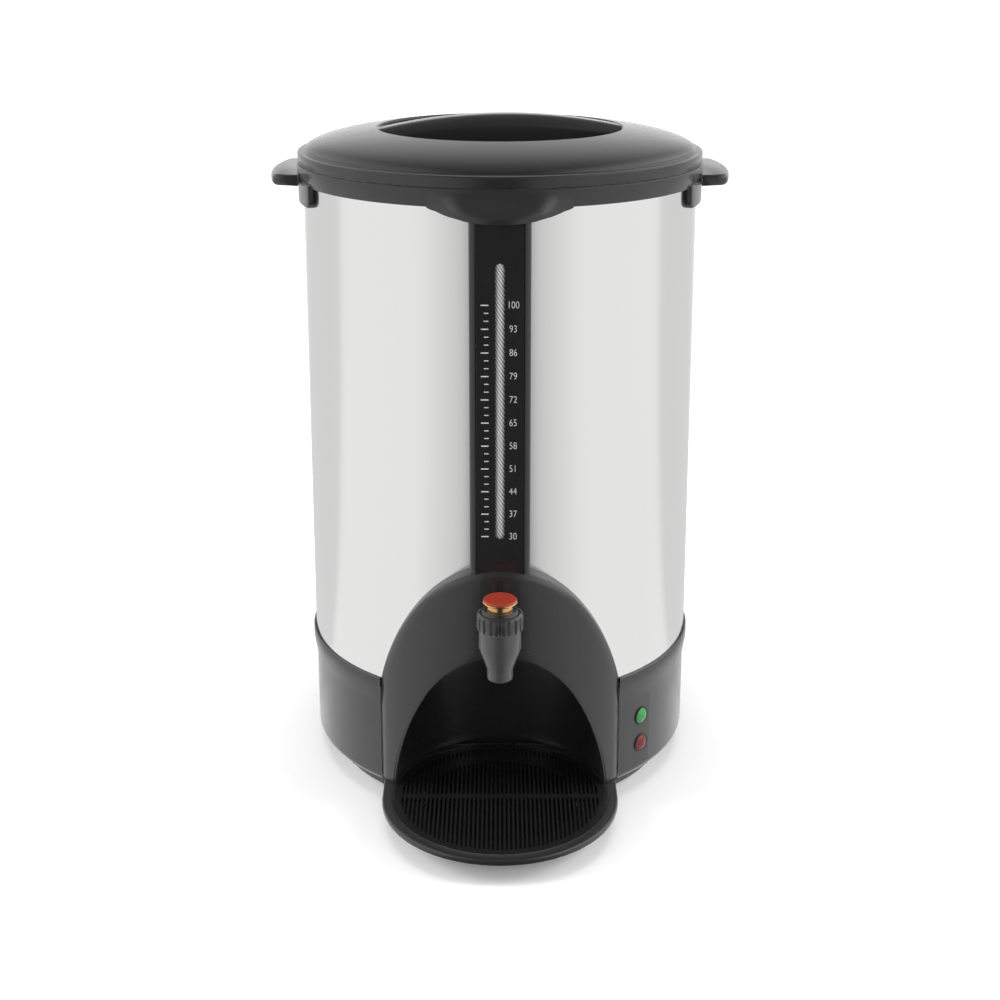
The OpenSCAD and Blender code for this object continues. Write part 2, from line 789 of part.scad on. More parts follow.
module gauge_panel() {
    top_r = slot_w / 2;
    color(black)
    difference() {
        slab(panel_w / 2, panel_back, column_reach, column_low_z, column_top_z);
        ahead(panel_back - cut, column_reach + cut) union() {
            translate([-top_r, slot_low_z + top_r]) square([slot_w, slot_len - slot_w]);
            translate([0, slot_low_z + top_r]) circle(r = top_r);
            translate([0, slot_low_z + slot_len - top_r]) circle(r = top_r);
        }
        slab(3.5, column_reach - 0.5, column_reach + cut, hood_crown_z + 5.2, hood_crown_z + 6.4);
    }
}

module sight_tube() {
    color([0.82, 0.84, 0.86, 0.5])
    translate([0, -tube_ahead, 0]) ring(tube_r, tube_bore_r, tube_low_z, tube_top_z);
}

module gauge_backing() {
    color([0.85, 0.85, 0.85])
    slab(channel_half_w - 0.4, tank_r + 0.4, tank_r + 1, slot_low_z - 8, slot_low_z + slot_len + 8);
}

module tube_seal() {
    color(silicone)
    translate([0, -tube_ahead, 0])
        ring(tee_r - 0.4, tube_r + 0.02, tee_top_z + 0.1, tee_top_z + seal_h);
}

module tube_cap() {
    low = tube_top_z - 6;
    color(silicone)
    translate([0, -tube_ahead, 0]) difference() {
        translate([0, 0, low]) cylinder(r = tube_r + 1.2, h = 9);
        translate([0, 0, low - cut]) cylinder(r = tube_r + 0.02, h = 6 + cut + 0.1);
        translate([0, 0, low]) cylinder(r = 0.8, h = 20);
        translate([-5, -tube_r - 0.1 - 5, low - cut]) cube([10, 5, 20]);
    }
}

// ---- Heating and electrics ----

module heater_plate() {
    top = floor_z - floor_t;
    color([0.7, 0.7, 0.7])
    difference() {
        ring(plate_r, well_r + floor_t + 0.5, top - plate_t, top);
        rotate_extrude() translate([element_at, element_z]) circle(r = element_r + 0.05);
    }
}

module heating_element() {
    color([0.5, 0.5, 0.48])
    union() {
        rotate([0, 0, 100]) rotate_extrude(angle = 340)
            translate([element_at, element_z]) circle(r = element_r);
        for (a = [180 - 10, 180 + 10]) azimuth(a) translate([0, -element_at, element_z - terminal_len]) {
            cylinder(r = terminal_r, h = terminal_len);
            translate([0, 0, terminal_len - 5]) cylinder(r = element_r - 0.1, h = 5);
        }
    }
}

module sensor(side) {
    translate([side * sensor_x, -sensor_ahead, floor_z - floor_t - sensor_h]) union() {
        cylinder(r = sensor_r, h = sensor_h);
        for (x = [-4, 4]) translate([x - 0.4, -3, -7]) cube([0.8, 6, 8]);
    }
}

module thermostat() {
    color([0.85, 0.83, 0.78]) sensor(-1);
}

module thermal_cutout() {
    color([0.75, 0.72, 0.66]) sensor(1);
}

module terminal_block() {
    color([0.9, 0.88, 0.82])
    difference() {
        translate([-block_size[0] / 2, -block_ahead - block_size[1] / 2, cover_top_z]) cube(block_size);
        for (i = [-1.5:1.5]) translate([i * 10, -block_ahead, cover_top_z + 6]) cylinder(r = 2.5, h = 20);
    }
}

// Insulated lead along straight runs between its points
module lead(points) {
    for (i = [0:len(points) - 2]) {
        run = points[i + 1] - points[i];
        translate(points[i])
            rotate([0, acos(run[2] / norm(run)), atan2(run[1], run[0])])
                cylinder(r = wire_r, h = norm(run));
    }
    for (i = [1:1:len(points) - 2]) translate(points[i]) sphere(r = wire_r + 0.1);
}

module wiring_harness() {
    block_top = cover_top_z + block_size[2];
    block_y = -block_ahead;
    inlet_y = base_r - inlet_depth - 4;
    element_x = element_at * sin(10);
    element_y = element_at * cos(10);
    sensor_low = floor_z - floor_t - sensor_h - 7;
    color([0.2, 0.2, 0.6])
    for (other = [0, 1]) mirror([other, 0, 0]) {
        lead([[-15, block_y, block_top + 0.2], [-15, block_y + 4, 34], [-7, inlet_y, inlet_z]]);
        lead([[-5, block_y, block_top + 0.2], [-5, block_y, lead_bend_z],
              [-element_x, element_y, element_z - terminal_len - 1.1]]);
        lead([[-20, block_y - 4, block_top + 0.2], [-20, block_y - 4, lead_bend_z],
              [-(sensor_x - 4), -sensor_ahead, sensor_low - 0.9]]);
    }
}

module inlet_socket() {
    face = pad_face + 2.5;
    color(black)
    difference() {
        union() {
            slab(inlet_flange_w / 2, -face, -pad_face, inlet_z - inlet_flange_h / 2,
                 inlet_z + inlet_flange_h / 2);
            slab(inlet_w / 2, -pad_face - 1, -(base_r - inlet_depth), inlet_z - inlet_h / 2,
                 inlet_z + inlet_h / 2);
        }
        slab(inlet_cavity_w / 2, -face - cut, -(base_r - inlet_depth + 2.5),
             inlet_z - inlet_cavity_h / 2, inlet_z + inlet_cavity_h / 2);
        for (pin = [[-7, -2], [0, 3], [7, -2]]) translate([pin[0], 0, 0])
            slab(1, -face, -(base_r - inlet_depth - 5), inlet_z + pin[1] - 2, inlet_z + pin[1] + 2);
        for (side = [-1, 1])
            rod_ahead(inlet_screw_r + 0.2, -face - cut, -pad_face + cut, side * inlet_screw_x, inlet_z);
    }
}

module inlet_pins() {
    color([0.8, 0.75, 0.6])
    for (pin = [[-7, -2], [0, 3], [7, -2]]) translate([pin[0], 0, 0])
        slab(0.95, -(pad_face - 1), -(base_r - inlet_depth - 3), inlet_z + pin[1] - 1.95,
             inlet_z + pin[1] + 1.95);
}

module inlet_screws() {
    face = pad_face + 2.5;
    color(steel)
    for (side = [-1, 1]) {
        rod_ahead(3, -face - 1.6, -face, side * inlet_screw_x, inlet_z);
        rod_ahead(inlet_screw_r - 0.25, -face - 1, -(base_r - 6), side * inlet_screw_x, inlet_z);
    }
}

// Domed lens with a barrel that passes through the wall
module lamp(z) {
    proud = 1.9;
    dome = (pow(lamp_r, 2) + pow(proud, 2)) / (2 * proud);
    azimuth(lamp_azimuth) union() {
        rod_ahead(lamp_barrel_r, base_r - 14, base_r + 0.6, z = z);
        intersection() {
            rod_ahead(lamp_r, base_r + 0.05, base_r + 5, z = z);
            translate([0, -(base_r + proud + 0.5 - dome), z]) sphere(r = dome);
        }
    }
}

module lamp_green() {
    color([0.15, 0.7, 0.3]) lamp(lamp_green_z);
}

module lamp_red() {
    color([0.75, 0.12, 0.1]) lamp(lamp_red_z);
}

module lamp_nuts() {
    color([0.85, 0.85, 0.82])
    for (z = lamp_zs) azimuth(lamp_azimuth) difference() {
        rod_ahead(8, base_r - base_wall - 3.4, base_r - base_wall - 0.4, z = z);
        rod_ahead(lamp_barrel_r + 0.05, base_r - 20, base_r, z = z);
    }
}

// ---- Tap ----

module at_tap() {
    translate([0, -tap_reach, 0]) children();
}

module tap_body() {
    color([0.36, 0.36, 0.37])
    difference() {
        union() {
            at_tap() rotate_extrude() polygon([
                [0, nozzle_z], [nozzle_r - 1.2, nozzle_z], [nozzle_r, nozzle_z + 1.2],
                [nozzle_r, taper_low_z], [barrel_r, taper_top_z], [barrel_r, barrel_top_z],
                [neck_r, barrel_top_z], [neck_r, body_top_z], [0, body_top_z]]);
            rod_ahead(shank_r + 1.5, hood_reach + 1, tap_reach, z = shank_z);
            rod_ahead(flange_r, hood_reach + 0.05, hood_reach + flange_t, z = shank_z);
        }
        at_tap() {
            translate([0, 0, nozzle_z - cut]) cylinder(r = nozzle_bore_r, h = seat_z - nozzle_z + cut);
            translate([0, 0, seat_z - cut]) cylinder(r = seat_r, h = seat_t + 2 * cut);
            translate([0, 0, seat_z + seat_t]) cylinder(r = chamber_r, h = body_top_z);
        }
        rod_ahead(shank_r + 0.05, hood_reach - cut, tap_reach - chamber_r - 1, z = shank_z);
        rod_ahead(shank_bore_r, hood_reach - cut, tap_reach, z = shank_z);
    }
}

module tap_shank() {
    color([0.75, 0.73, 0.68])
    difference() {
        union() {
            rod_ahead(shank_r, tank_in_r - 12, tap_reach - chamber_r - 1.2, z = shank_z);
            rod_ahead(shank_r + 1.1, tank_r + washer_t + 0.4, hood_reach - hood_wall - 0.4, z = shank_z);
            difference() {
                translate([0, -tube_ahead, shank_z]) cylinder(r = tee_r, h = tee_top_z - shank_z);
                slab(tee_r + cut, tank_in_r - 12, tank_r + washer_t + 0.3, 0, seam_z);
            }
        }
        rod_ahead(shank_bore_r, tank_in_r - 13, tap_reach, z = shank_z);
        translate([0, -tube_ahead, shank_z]) cylinder(r = tube_r + 0.05, h = 20);
    }
}

module tap_nut() {
    back = tank_in_r - 3.2 - tank_nut_t;
    color([0.8, 0.8, 0.8])
    difference() {
        translate([0, -back, shank_z]) rotate([90, 0, 0]) cylinder(r = 11, h = tank_nut_t, $fn = 6);
        rod_ahead(shank_r + 0.05, back - cut, back + tank_nut_t + cut, z = shank_z);
    }
}

module tap_washers() {
    inner = tank_in_r - 3.2;
    outer = tank_r + 0.1;
    color(silicone)
    for (from = [inner, outer]) difference() {
        rod_ahead(washer_r, from, from + washer_t, z = shank_z);
        rod_ahead(shank_r + 0.05, from - cut, from + washer_t + cut, z = shank_z);
    }
}

module tap_guide() {
    color([0.85, 0.85, 0.85])
    at_tap() ring(chamber_r - 0.05, stem_r + run_gap, guide_z, guide_z + guide_t);
}

module tap_bonnet() {
    color([0.36, 0.36, 0.37])
    at_tap() difference() {
        union() {
            translate([0, 0, barrel_top_z + 0.05])
                cylinder(r = bonnet_r, h = bonnet_top_z - barrel_top_z - 0.05);
            translate([0, 0, bonnet_top_z - cut])
                cylinder(r = cap_ring_r, h = cap_ring_z - bonnet_top_z + cut);
        }
        translate([0, 0, barrel_top_z - cut])
            cylinder(r = neck_r + 0.05, h = body_top_z - barrel_top_z + cut + 0.05);
        translate([0, 0, barrel_top_z]) cylinder(r = sleeve_r + run_gap, h = 30);
        for (i = [0:knurl_count - 1]) rotate([0, 0, i * 360 / knurl_count])
            translate([bonnet_r + 0.3, 0, barrel_top_z - cut]) cylinder(r = 0.8, h = bonnet_top_z, $fn = 16);
    }
}

module tap_button() {
    color([0.72, 0.2, 0.14])
    at_tap() rotate_extrude() polygon([
        [0, button_z + 0.02], [button_r - 0.6, button_z + 0.02],
        [button_r - 0.6, button_z + button_t - 0.4], [button_r - 1, button_z + button_t],
        [0, button_z + button_t]]);
}

module tap_cap() {
    color(gold)
    at_tap() difference() {
        rotate_extrude() polygon([
            [sleeve_r - 1, sleeve_low_z], [sleeve_r, sleeve_low_z], [sleeve_r, cap_flare_z],
            [button_r, cap_rim_z], [button_r, button_z], [0, button_z],
            [0, cap_low_z], [sleeve_r - 1, cap_low_z]]);
        translate([0, 0, cap_low_z - cut]) cylinder(r = stem_r + 0.02, h = cut + 1.5);
    }
}

module tap_stem() {
    color(steel)
    at_tap() translate([0, 0, seat_z - plug_h + 1])
        cylinder(r = stem_r, h = cap_low_z + 1.4 - (seat_z - plug_h + 1));
}

module tap_plug() {
    low = seat_z - plug_h - 0.1;
    color(silicone)
    at_tap() difference() {
        translate([0, 0, low]) cylinder(r = plug_r, h = plug_h);
        translate([0, 0, low + 1.1 - 0.05]) cylinder(r = stem_r + 0.02, h = plug_h);
    }
}

// The coil's level section is a ring sector, wide enough for the wire's height at its pitch
module tap_spring() {
    low = guide_z + guide_t + 0.1;
    height = cap_low_z - 0.1 - low;
    wire = 2 * spring_wire_r;
    pitch = height / spring_turns;
    sweep = 360 * wire / pitch;
    outer = [for (i = [0:8]) (spring_r + spring_wire_r) * [cos(i * sweep / 8), sin(i * sweep / 8)]];
    inner = [for (i = [8:-1:0]) (spring_r - spring_wire_r) * [cos(i * sweep / 8), sin(i * sweep / 8)]];
    color(steel)
    at_tap() translate([0, 0, low])
        linear_extrude(height, twist = -360 * spring_turns, slices = 66, $fn = 12)
            polygon(concat(outer, inner));
}

// ---- Lid ----

module lid_profile() {
    inner_a = dome_r - lid_wall;
    inner_b = dome_rise - lid_wall;
    shelf_r = recess_r + lid_wall;
    flange_top = seam_z + lid_wall;
    polygon(concat(
        [[0, recess_floor_z - lid_wall], [shelf_r, recess_floor_z - lid_wall]],
        ellipse_arc(inner_a, inner_b, lid_crease_z, acos(shelf_r / inner_a), 0),
        [[inner_a, flange_top], [lid_skirt_r - lid_wall, flange_top],
         [lid_skirt_r - lid_wall, seam_z - lid_skirt_drop], [lid_skirt_r, seam_z - lid_skirt_drop],
         [lid_skirt_r, seam_z], [lid_r, seam_z], [lid_r, lid_crease_z - 0.8],
         [lid_r - 0.8, lid_crease_z], [dome_r + 1.2, lid_crease_z],
         [dome_r + 0.3, lid_crease_z + 0.3]],
        ellipse_arc(dome_r, dome_rise, lid_crease_z + 0.4, 2, acos((recess_r + 2) / dome_r)),
        [[recess_r + 0.6, dome_z(recess_r + 2) - 0.1], [recess_r, dome_z(recess_r + 2) - 1.2],
         [recess_r, recess_floor_z], [0, recess_floor_z]]));
}

// Arched bar across the recess: its section swept around a level axis far below
module bar_sweep(inset) {
    half = bar_w / 2 - inset;
    round_r = max(bar_round - inset, 1);
    sweep = 30;
    translate([0, 0, seam_z + bar_crown - bar_arc_r])
        rotate([90, 0, 0]) rotate([0, 0, 90 - sweep / 2])
            rotate_extrude(angle = sweep) translate([bar_arc_r - inset, 0]) union() {
                translate([-bar_root, -half]) square([bar_root - round_r, 2 * half]);
                translate([-bar_root, -half + round_r]) square([bar_root, 2 * (half - round_r)]);
                for (side = [-1, 1]) translate([-round_r, side * (half - round_r)]) circle(r = round_r);
            }
}

module lid_bar() {
    intersection() {
        bar_sweep(0);
        translate([0, 0, recess_floor_z - cut]) cylinder(r = recess_r + 1, h = 60);
    }
}

module lid_shell() {
    color(charcoal)
    rotate([0, 0, lid_turn])
    difference() {
        union() {
            rotate_extrude() lid_profile();
            lid_bar();
            for (a = [45:90:315]) rotate([0, 0, a]) translate([lid_boss_at, 0, seam_z])
                cylinder(r = lid_boss_r, h = dome_z(lid_boss_at) - lid_wall / 2 - seam_z);
        }
        intersection() {
            bar_sweep(lid_wall);
            translate([0, 0, recess_floor_z - lid_wall - cut]) cylinder(r = recess_r - lid_wall, h = 60);
        }
        for (a = [45:90:315]) rotate([0, 0, a]) translate([lid_boss_at, 0, seam_z - cut])
            cylinder(r = lid_screw_r, h = 10);
    }
}

module lid_liner() {
    color(steel)
    rotate([0, 0, lid_turn])
    difference() {
        translate([0, 0, seam_z - liner_plate_t])
            cylinder(r = lid_skirt_r - lid_wall - gap, h = liner_plate_t);
        for (a = [45:90:315]) rotate([0, 0, a]) translate([lid_boss_at, 0, seam_z - 3])
            cylinder(r = lid_screw_r + 0.2, h = 10);
    }
}

module lid_screws() {
    color(steel)
    rotate([0, 0, lid_turn])
    for (a = [45:90:315]) rotate([0, 0, a]) translate([lid_boss_at, 0, seam_z - liner_plate_t]) {
        translate([0, 0, -1.8]) cylinder(r = 3, h = 1.8);
        translate([0, 0, -1]) cylinder(r = lid_screw_r - 0.05, h = 9);
    }
}

// ---- Percolator ----

module pump_tube() {
    bore = pump_r - pump_wall;
    color(steel)
    difference() {
        rotate_extrude() polygon([
            [bore, well_z + 8.5], [bore - 1.4, well_z + 8.5], [bore - 1.4, well_z + 6.3],
            [foot_bell_r - pump_wall, well_z + 0.3], [foot_bell_r, well_z + 0.3],
            [foot_bell_r, well_z + 1.2], [pump_r, well_z + 8], [pump_r, basket_z - 3],
            [pump_r + 4, basket_z - 0.2 - pump_wall], [pump_r + 4, basket_z - 0.2],
            [pump_r, basket_z - 0.2], [pump_r, stem_top_z], [bore, stem_top_z]]);
        for (a = [0:60:300]) rotate([0, 0, a]) translate([foot_bell_r - 7, 0, well_z])
            cylinder(r = 2, h = 12);
    }
}

module pump_washer() {
    color(steel)
    translate([0, 0, well_z + 9]) cylinder(r = pump_r - pump_wall - 0.4, h = 1);
}

module coffee_basket() {
    inner = basket_r - pump_wall;
    sleeve_in = pump_r + sleeve_gap;
    color(steel)
    difference() {
        rotate_extrude() polygon([
            [sleeve_in, basket_z], [basket_r, basket_z], [basket_r, basket_lid_z],
            [inner, basket_lid_z], [inner, basket_z + pump_wall],
            [sleeve_in + pump_wall, basket_z + pump_wall],
            [sleeve_in + pump_wall, basket_z + 20], [sleeve_in, basket_z + 20]]);
        for (k = [1:4]) for (i = [0:8 * k - 1]) rotate([0, 0, i * 45 / k])
            translate([8 + k * (basket_r - 18) / 4, 0, basket_z - cut]) cylinder(r = 1.3, h = 3, $fn = 16);
    }
}

module basket_lid() {
    hole_r = pump_r + sleeve_gap;
    color(steel)
    difference() {
        rotate_extrude() polygon([
            [hole_r, basket_lid_z - 4], [basket_r - 4, basket_lid_z - 4],
            [basket_r - pump_wall - 1, basket_lid_z + 0.2], [basket_r + 1, basket_lid_z + 0.2],
            [basket_r + 1, basket_lid_z + 1], [basket_r - pump_wall - 1.4, basket_lid_z + 1],
            [basket_r - 4.4, basket_lid_z - 3.2], [hole_r, basket_lid_z - 3.2]]);
        for (k = [1:3]) for (i = [0:8 * k - 1]) rotate([0, 0, i * 45 / k])
            translate([8 + k * (basket_r - 20) / 3, 0, basket_lid_z - 5]) cylinder(r = 1.6, h = 5, $fn = 16);
    }
}

// ---- Drip tray ----

module tray_plan(inset) {
    union() {
        translate([0, -tray_ahead]) circle(r = tray_r - inset);
        translate([-tray_r + inset, -tray_ahead])
            square([2 * (tray_r - inset), tray_ahead - tray_back - inset]);
    }
}

module drip_tray() {
    edge = 1.2;
    color(black)
    difference() {
        union() {
            translate([0, 0, tray_low_z]) linear_extrude(tray_rim - edge) tray_plan(0);
            translate([0, 0, tray_low_z]) linear_extrude(tray_rim) tray_plan(edge);
            translate([0, -tray_ahead, tub_low_z]) cylinder(r = tub_r, h = tray_low_z - tub_low_z + 1);
        }
        translate([0, -tray_ahead, 0]) {
            translate([0, 0, grid_z - 0.05]) cylinder(r = grid_r + 0.3, h = 10);
            translate([0, 0, tray_low_z + tray_floor_t]) cylinder(r = grid_field_r + 1, h = 10);
            translate([0, 0, tub_low_z + tub_wall]) cylinder(r = tub_r - tub_wall, h = 20);
        }
    }
}

module drip_grid() {
    columns = floor(grid_field_r / grid_pitch - 0.5);
    color([0.13, 0.13, 0.14])
    translate([0, -tray_ahead, grid_z]) difference() {
        cylinder(r = grid_r, h = grid_t);
        intersection() {
            translate([0, 0, -cut]) cylinder(r = grid_field_r, h = grid_t + 2 * cut);
            for (i = [-columns - 1:columns]) for (row = [-1, 1])
                translate([(i + 0.5) * grid_pitch - grid_slot_w / 2,
                           row > 0 ? 2.5 : -grid_field_r - 2.5, -cut])
                    cube([grid_slot_w, grid_field_r, grid_t + 2 * cut]);
        }
    }
}

steel_tank();
tank_posts();
post_screws();
collar();
handle_screws();
base_shell();
bottom_cover();
cover_screws();
rubber_feet();
hood();
alcove_liner();
hood_screws();
gauge_column();
gauge_panel();
sight_tube();
gauge_backing();
tube_seal();
tube_cap();
heater_plate();
heating_element();
thermostat();
thermal_cutout();
terminal_block();
wiring_harness();
inlet_socket();
inlet_pins();
inlet_screws();
lamp_green();
lamp_red();
lamp_nuts();
tap_body();
tap_shank();
tap_nut();
tap_washers();
tap_guide();
tap_bonnet();
tap_button();
tap_cap();
tap_stem();
tap_plug();
tap_spring();
lid_shell();
lid_liner();
lid_screws();
pump_tube();
pump_washer();
coffee_basket();
basket_lid();
drip_tray();
drip_grid();
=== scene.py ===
import json
import math

import bmesh
import bpy
from mathutils import Matrix, Vector


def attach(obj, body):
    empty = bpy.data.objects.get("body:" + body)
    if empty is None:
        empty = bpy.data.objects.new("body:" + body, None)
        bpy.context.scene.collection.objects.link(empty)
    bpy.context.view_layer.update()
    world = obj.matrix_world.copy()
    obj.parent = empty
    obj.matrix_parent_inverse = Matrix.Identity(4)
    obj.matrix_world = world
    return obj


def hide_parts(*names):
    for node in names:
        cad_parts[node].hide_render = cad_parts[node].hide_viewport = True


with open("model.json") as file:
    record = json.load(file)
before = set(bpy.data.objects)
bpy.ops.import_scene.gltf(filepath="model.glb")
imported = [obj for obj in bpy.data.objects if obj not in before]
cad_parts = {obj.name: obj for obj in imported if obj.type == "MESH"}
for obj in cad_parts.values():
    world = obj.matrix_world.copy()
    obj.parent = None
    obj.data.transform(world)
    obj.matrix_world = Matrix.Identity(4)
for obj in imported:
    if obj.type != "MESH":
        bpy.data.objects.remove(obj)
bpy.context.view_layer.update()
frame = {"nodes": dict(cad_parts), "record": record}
nodes = frame["nodes"]
slots = {part["node"]: part["material_slot"] for part in frame["record"]["subparts"]}
MM = 0.001

# Sizes that several pieces share, in millimetres
TANK_R = 140
SEAM_Z = 445
HAIR = 0.02  # keeps two faces apart that would lie in one place


# ---- Finishes ----

FINISH = {}
UNEVEN = 0.02  # how far a finish's roughness strays from its middle value


def new_finish(name):
    finish = bpy.data.materials.new(name)
    finish.use_nodes = True
    FINISH[name] = finish
    tree = finish.node_tree
    return tree, tree.nodes["Principled BSDF"]


def object_pattern(tree, scale=(1, 1, 1)):
    """Object coordinates stretched per axis, for a pattern that stays in place."""
    coords = tree.nodes.new("ShaderNodeTexCoord")
    stretch = tree.nodes.new("ShaderNodeMapping")
    stretch.inputs["Scale"].default_value = scale
    tree.links.new(coords.outputs["Object"], stretch.inputs["Vector"])
    return stretch.outputs["Vector"]


def noise(tree, vector, scale, detail=2):
    grain = tree.nodes.new("ShaderNodeTexNoise")
    grain.inputs["Scale"].default_value = scale
    grain.inputs["Detail"].default_value = detail
    tree.links.new(vector, grain.inputs["Vector"])
    return grain.outputs["Fac"]


def ramp(tree, value, low, high, low_at=0.3, high_at=0.7):
    """A number that goes from low to high as the value goes from low_at to high_at."""
    stops = tree.nodes.new("ShaderNodeMapRange")
    stops.inputs["From Min"].default_value = low_at
    stops.inputs["From Max"].default_value = high_at
    stops.inputs["To Min"].default_value = low
    stops.inputs["To Max"].default_value = high
    tree.links.new(value, stops.inputs["Value"])
    return stops.outputs["Result"]


def darker(colour, share):
    return [part * share for part in colour]


def tint(tree, value, dark, light):
    blend = tree.nodes.new("ShaderNodeMix")
    blend.data_type = "RGBA"
    blend.inputs["A"].default_value = (*dark, 1)
    blend.inputs["B"].default_value = (*light, 1)
    tree.links.new(value, blend.inputs["Factor"])
    return blend.outputs["Result"]


def arithmetic(tree, operation, first, second=None):
    step = tree.nodes.new("ShaderNodeMath")
    step.operation = operation
    for place, value in zip(step.inputs, (first, second)):
        if isinstance(value, (int, float)):
            place.default_value = value
        elif value is not None:
            tree.links.new(value, place)
    return step.outputs["Value"]


def relief(tree, shader, value, strength, depth_mm):
    bump = tree.nodes.new("ShaderNodeBump")
    bump.inputs["Strength"].default_value = strength
    bump.inputs["Distance"].default_value = depth_mm * MM
    tree.links.new(value, bump.inputs["Height"])
    tree.links.new(bump.outputs["Normal"], shader.inputs["Normal"])


def moulded_plastic(name, colour, rough, grain_scale, grain_depth, gloss=0.5, sheen=0):
    """Moulded plastic: a fine spark-eroded grain, and slight unevenness in its gloss."""
    tree, shader = new_finish(name)
    shader.inputs["Specular IOR Level"].default_value = gloss
    shader.inputs["Sheen Weight"].default_value = sheen
    shader.inputs["Sheen Roughness"].default_value = 0.3
    even = object_pattern(tree)
    cloud = noise(tree, even, 40, 3)
    tree.links.new(tint(tree, cloud, darker(colour, 0.92), colour), shader.inputs["Base Color"])
    tree.links.new(ramp(tree, cloud, rough - UNEVEN, rough + UNEVEN), shader.inputs["Roughness"])
    relief(tree, shader, noise(tree, even, grain_scale), 0.5, grain_depth)


def drawn_metal(name, colour, rough, stretch, depth):
    """Metal with fine lines of the tool that drew or turned it."""
    tree, shader = new_finish(name)
    shader.inputs["Metallic"].default_value = 1
    lines = noise(tree, object_pattern(tree, stretch), 1, 4)
    cloud = noise(tree, object_pattern(tree), 18, 3)
    tree.links.new(tint(tree, lines, darker(colour, 0.96), colour), shader.inputs["Base Color"])
    tree.links.new(ramp(tree, cloud, rough - UNEVEN, rough + UNEVEN), shader.inputs["Roughness"])
    relief(tree, shader, lines, 0.3, depth)


def clear_lens(name, colour, glow):
    """Coloured lens with a fine mottle and a faint light of its own."""
    tree, shader = new_finish(name)
    mottle = noise(tree, object_pattern(tree), 260)
    tree.links.new(tint(tree, mottle, darker(colour, 0.6), colour), shader.inputs["Base Color"])
    shader.inputs["Roughness"].default_value = 0.12
    shader.inputs["Emission Color"].default_value = (*colour, 1)
    shader.inputs["Emission Strength"].default_value = glow
    relief(tree, shader, mottle, 0.3, 0.2)


def tank_steel():
    """Polished sheet with fine lines around it, and the weld down its back."""
    tree, shader = new_finish("polished_steel")
    shader.inputs["Metallic"].default_value = 1
    lines = noise(tree, object_pattern(tree, (30, 30, 2600)), 1, 4)
    cloud = noise(tree, object_pattern(tree, (1, 1, 0.5)), 9, 3)
    tree.links.new(tint(tree, lines, (0.85, 0.85, 0.845), (0.88, 0.88, 0.875)), shader.inputs["Base Color"])
    tree.links.new(ramp(tree, cloud, 0.14, 0.18), shader.inputs["Roughness"])
    split = tree.nodes.new("ShaderNodeSeparateXYZ")
    tree.links.new(object_pattern(tree), split.inputs["Vector"])
    aside = arithmetic(tree, "ABSOLUTE", split.outputs["X"])
    weld = ramp(tree, aside, 1, 0, low_at=0.4 * MM, high_at=1.1 * MM)
    behind = arithmetic(tree, "GREATER_THAN", split.outputs["Y"], 0)
    bead = arithmetic(tree, "MULTIPLY", arithmetic(tree, "MULTIPLY", weld, behind), 12)
    relief(tree, shader, arithmetic(tree, "ADD", lines, bead), 0.3, 0.006)


def tube_glass():
    """Milky glass tube with fine threads wound in its wall."""
    tree, shader = new_finish("tube_glass")
    slant = tree.nodes.new("ShaderNodeMapping")
    slant.inputs["Rotation"].default_value = (0, math.radians(-57), 0)
    tree.links.new(object_pattern(tree), slant.inputs["Vector"])
    threads = tree.nodes.new("ShaderNodeTexWave")
    threads.bands_direction = "Z"
    threads.inputs["Scale"].default_value = 0.185 / MM
    tree.links.new(slant.outputs["Vector"], threads.inputs["Vector"])
    milk = tint(tree, threads.outputs["Fac"], (0.22, 0.23, 0.24), (0.95, 0.96, 0.97))
    tree.links.new(milk, shader.inputs["Base Color"])
    shader.inputs["Transmission Weight"].default_value = 0.2
    shader.inputs["Roughness"].default_value = 0.18
    relief(tree, shader, threads.outputs["Fac"], 0.3, 0.05)


tank_steel()
tube_glass()
drawn_metal("bright_steel", (0.66, 0.66, 0.65), 0.24, (60, 60, 1500), 0.01)
drawn_metal("screw_steel", (0.55, 0.55, 0.55), 0.32, (300, 300, 300), 0.01)
drawn_metal("cap_metal", (0.78, 0.43, 0.19), 0.1, (200, 200, 1500), 0.004)
drawn_metal("cast_alloy", (0.60, 0.60, 0.60), 0.45, (400, 400, 400), 0.05)
drawn_metal("element_sheath", (0.35, 0.35, 0.34), 0.4, (300, 300, 300), 0.02)
drawn_metal("pin_brass", (0.75, 0.62, 0.36), 0.25, (600, 60, 600), 0.01)
moulded_plastic("charcoal_plastic", (0.017, 0.017, 0.0175), 0.21, 1500, 0.006, sheen=0.28)
moulded_plastic("black_plastic", (0.016, 0.016, 0.0165), 0.22, 1200, 0.006, gloss=0.7, sheen=0.35)
moulded_plastic("gloss_black", (0.012, 0.012, 0.0125), 0.24, 500, 0.01)
moulded_plastic("tap_plastic", (0.045, 0.045, 0.046), 0.23, 1500, 0.006, sheen=0.2)
moulded_plastic("button_plastic", (0.30, 0.036, 0.02), 0.3, 700, 0.01)
moulded_plastic("white_plastic", (0.75, 0.75, 0.73), 0.4, 800, 0.02)
moulded_plastic("backing_white", (0.80, 0.80, 0.80), 0.35, 800, 0.01)
moulded_plastic("scale_print", (0.55, 0.55, 0.55), 0.5, 1200, 0.002)
moulded_plastic("insulated_wire", (0.08, 0.10, 0.35), 0.4, 800, 0.01)
moulded_plastic("ceramic", (0.78, 0.76, 0.70), 0.45, 800, 0.03)
moulded_plastic("silicone", (0.62, 0.60, 0.55), 0.5, 600, 0.02)
moulded_plastic("foot_rubber", (0.02, 0.02, 0.02), 0.75, 900, 0.05)
clear_lens("lens_green", (0.03, 0.24, 0.05), 0.15)
clear_lens("lens_red", (0.15, 0.012, 0.01), 0.05)


def dress(node, finish):
    for place in nodes[node].material_slots:
        place.material = FINISH[finish]


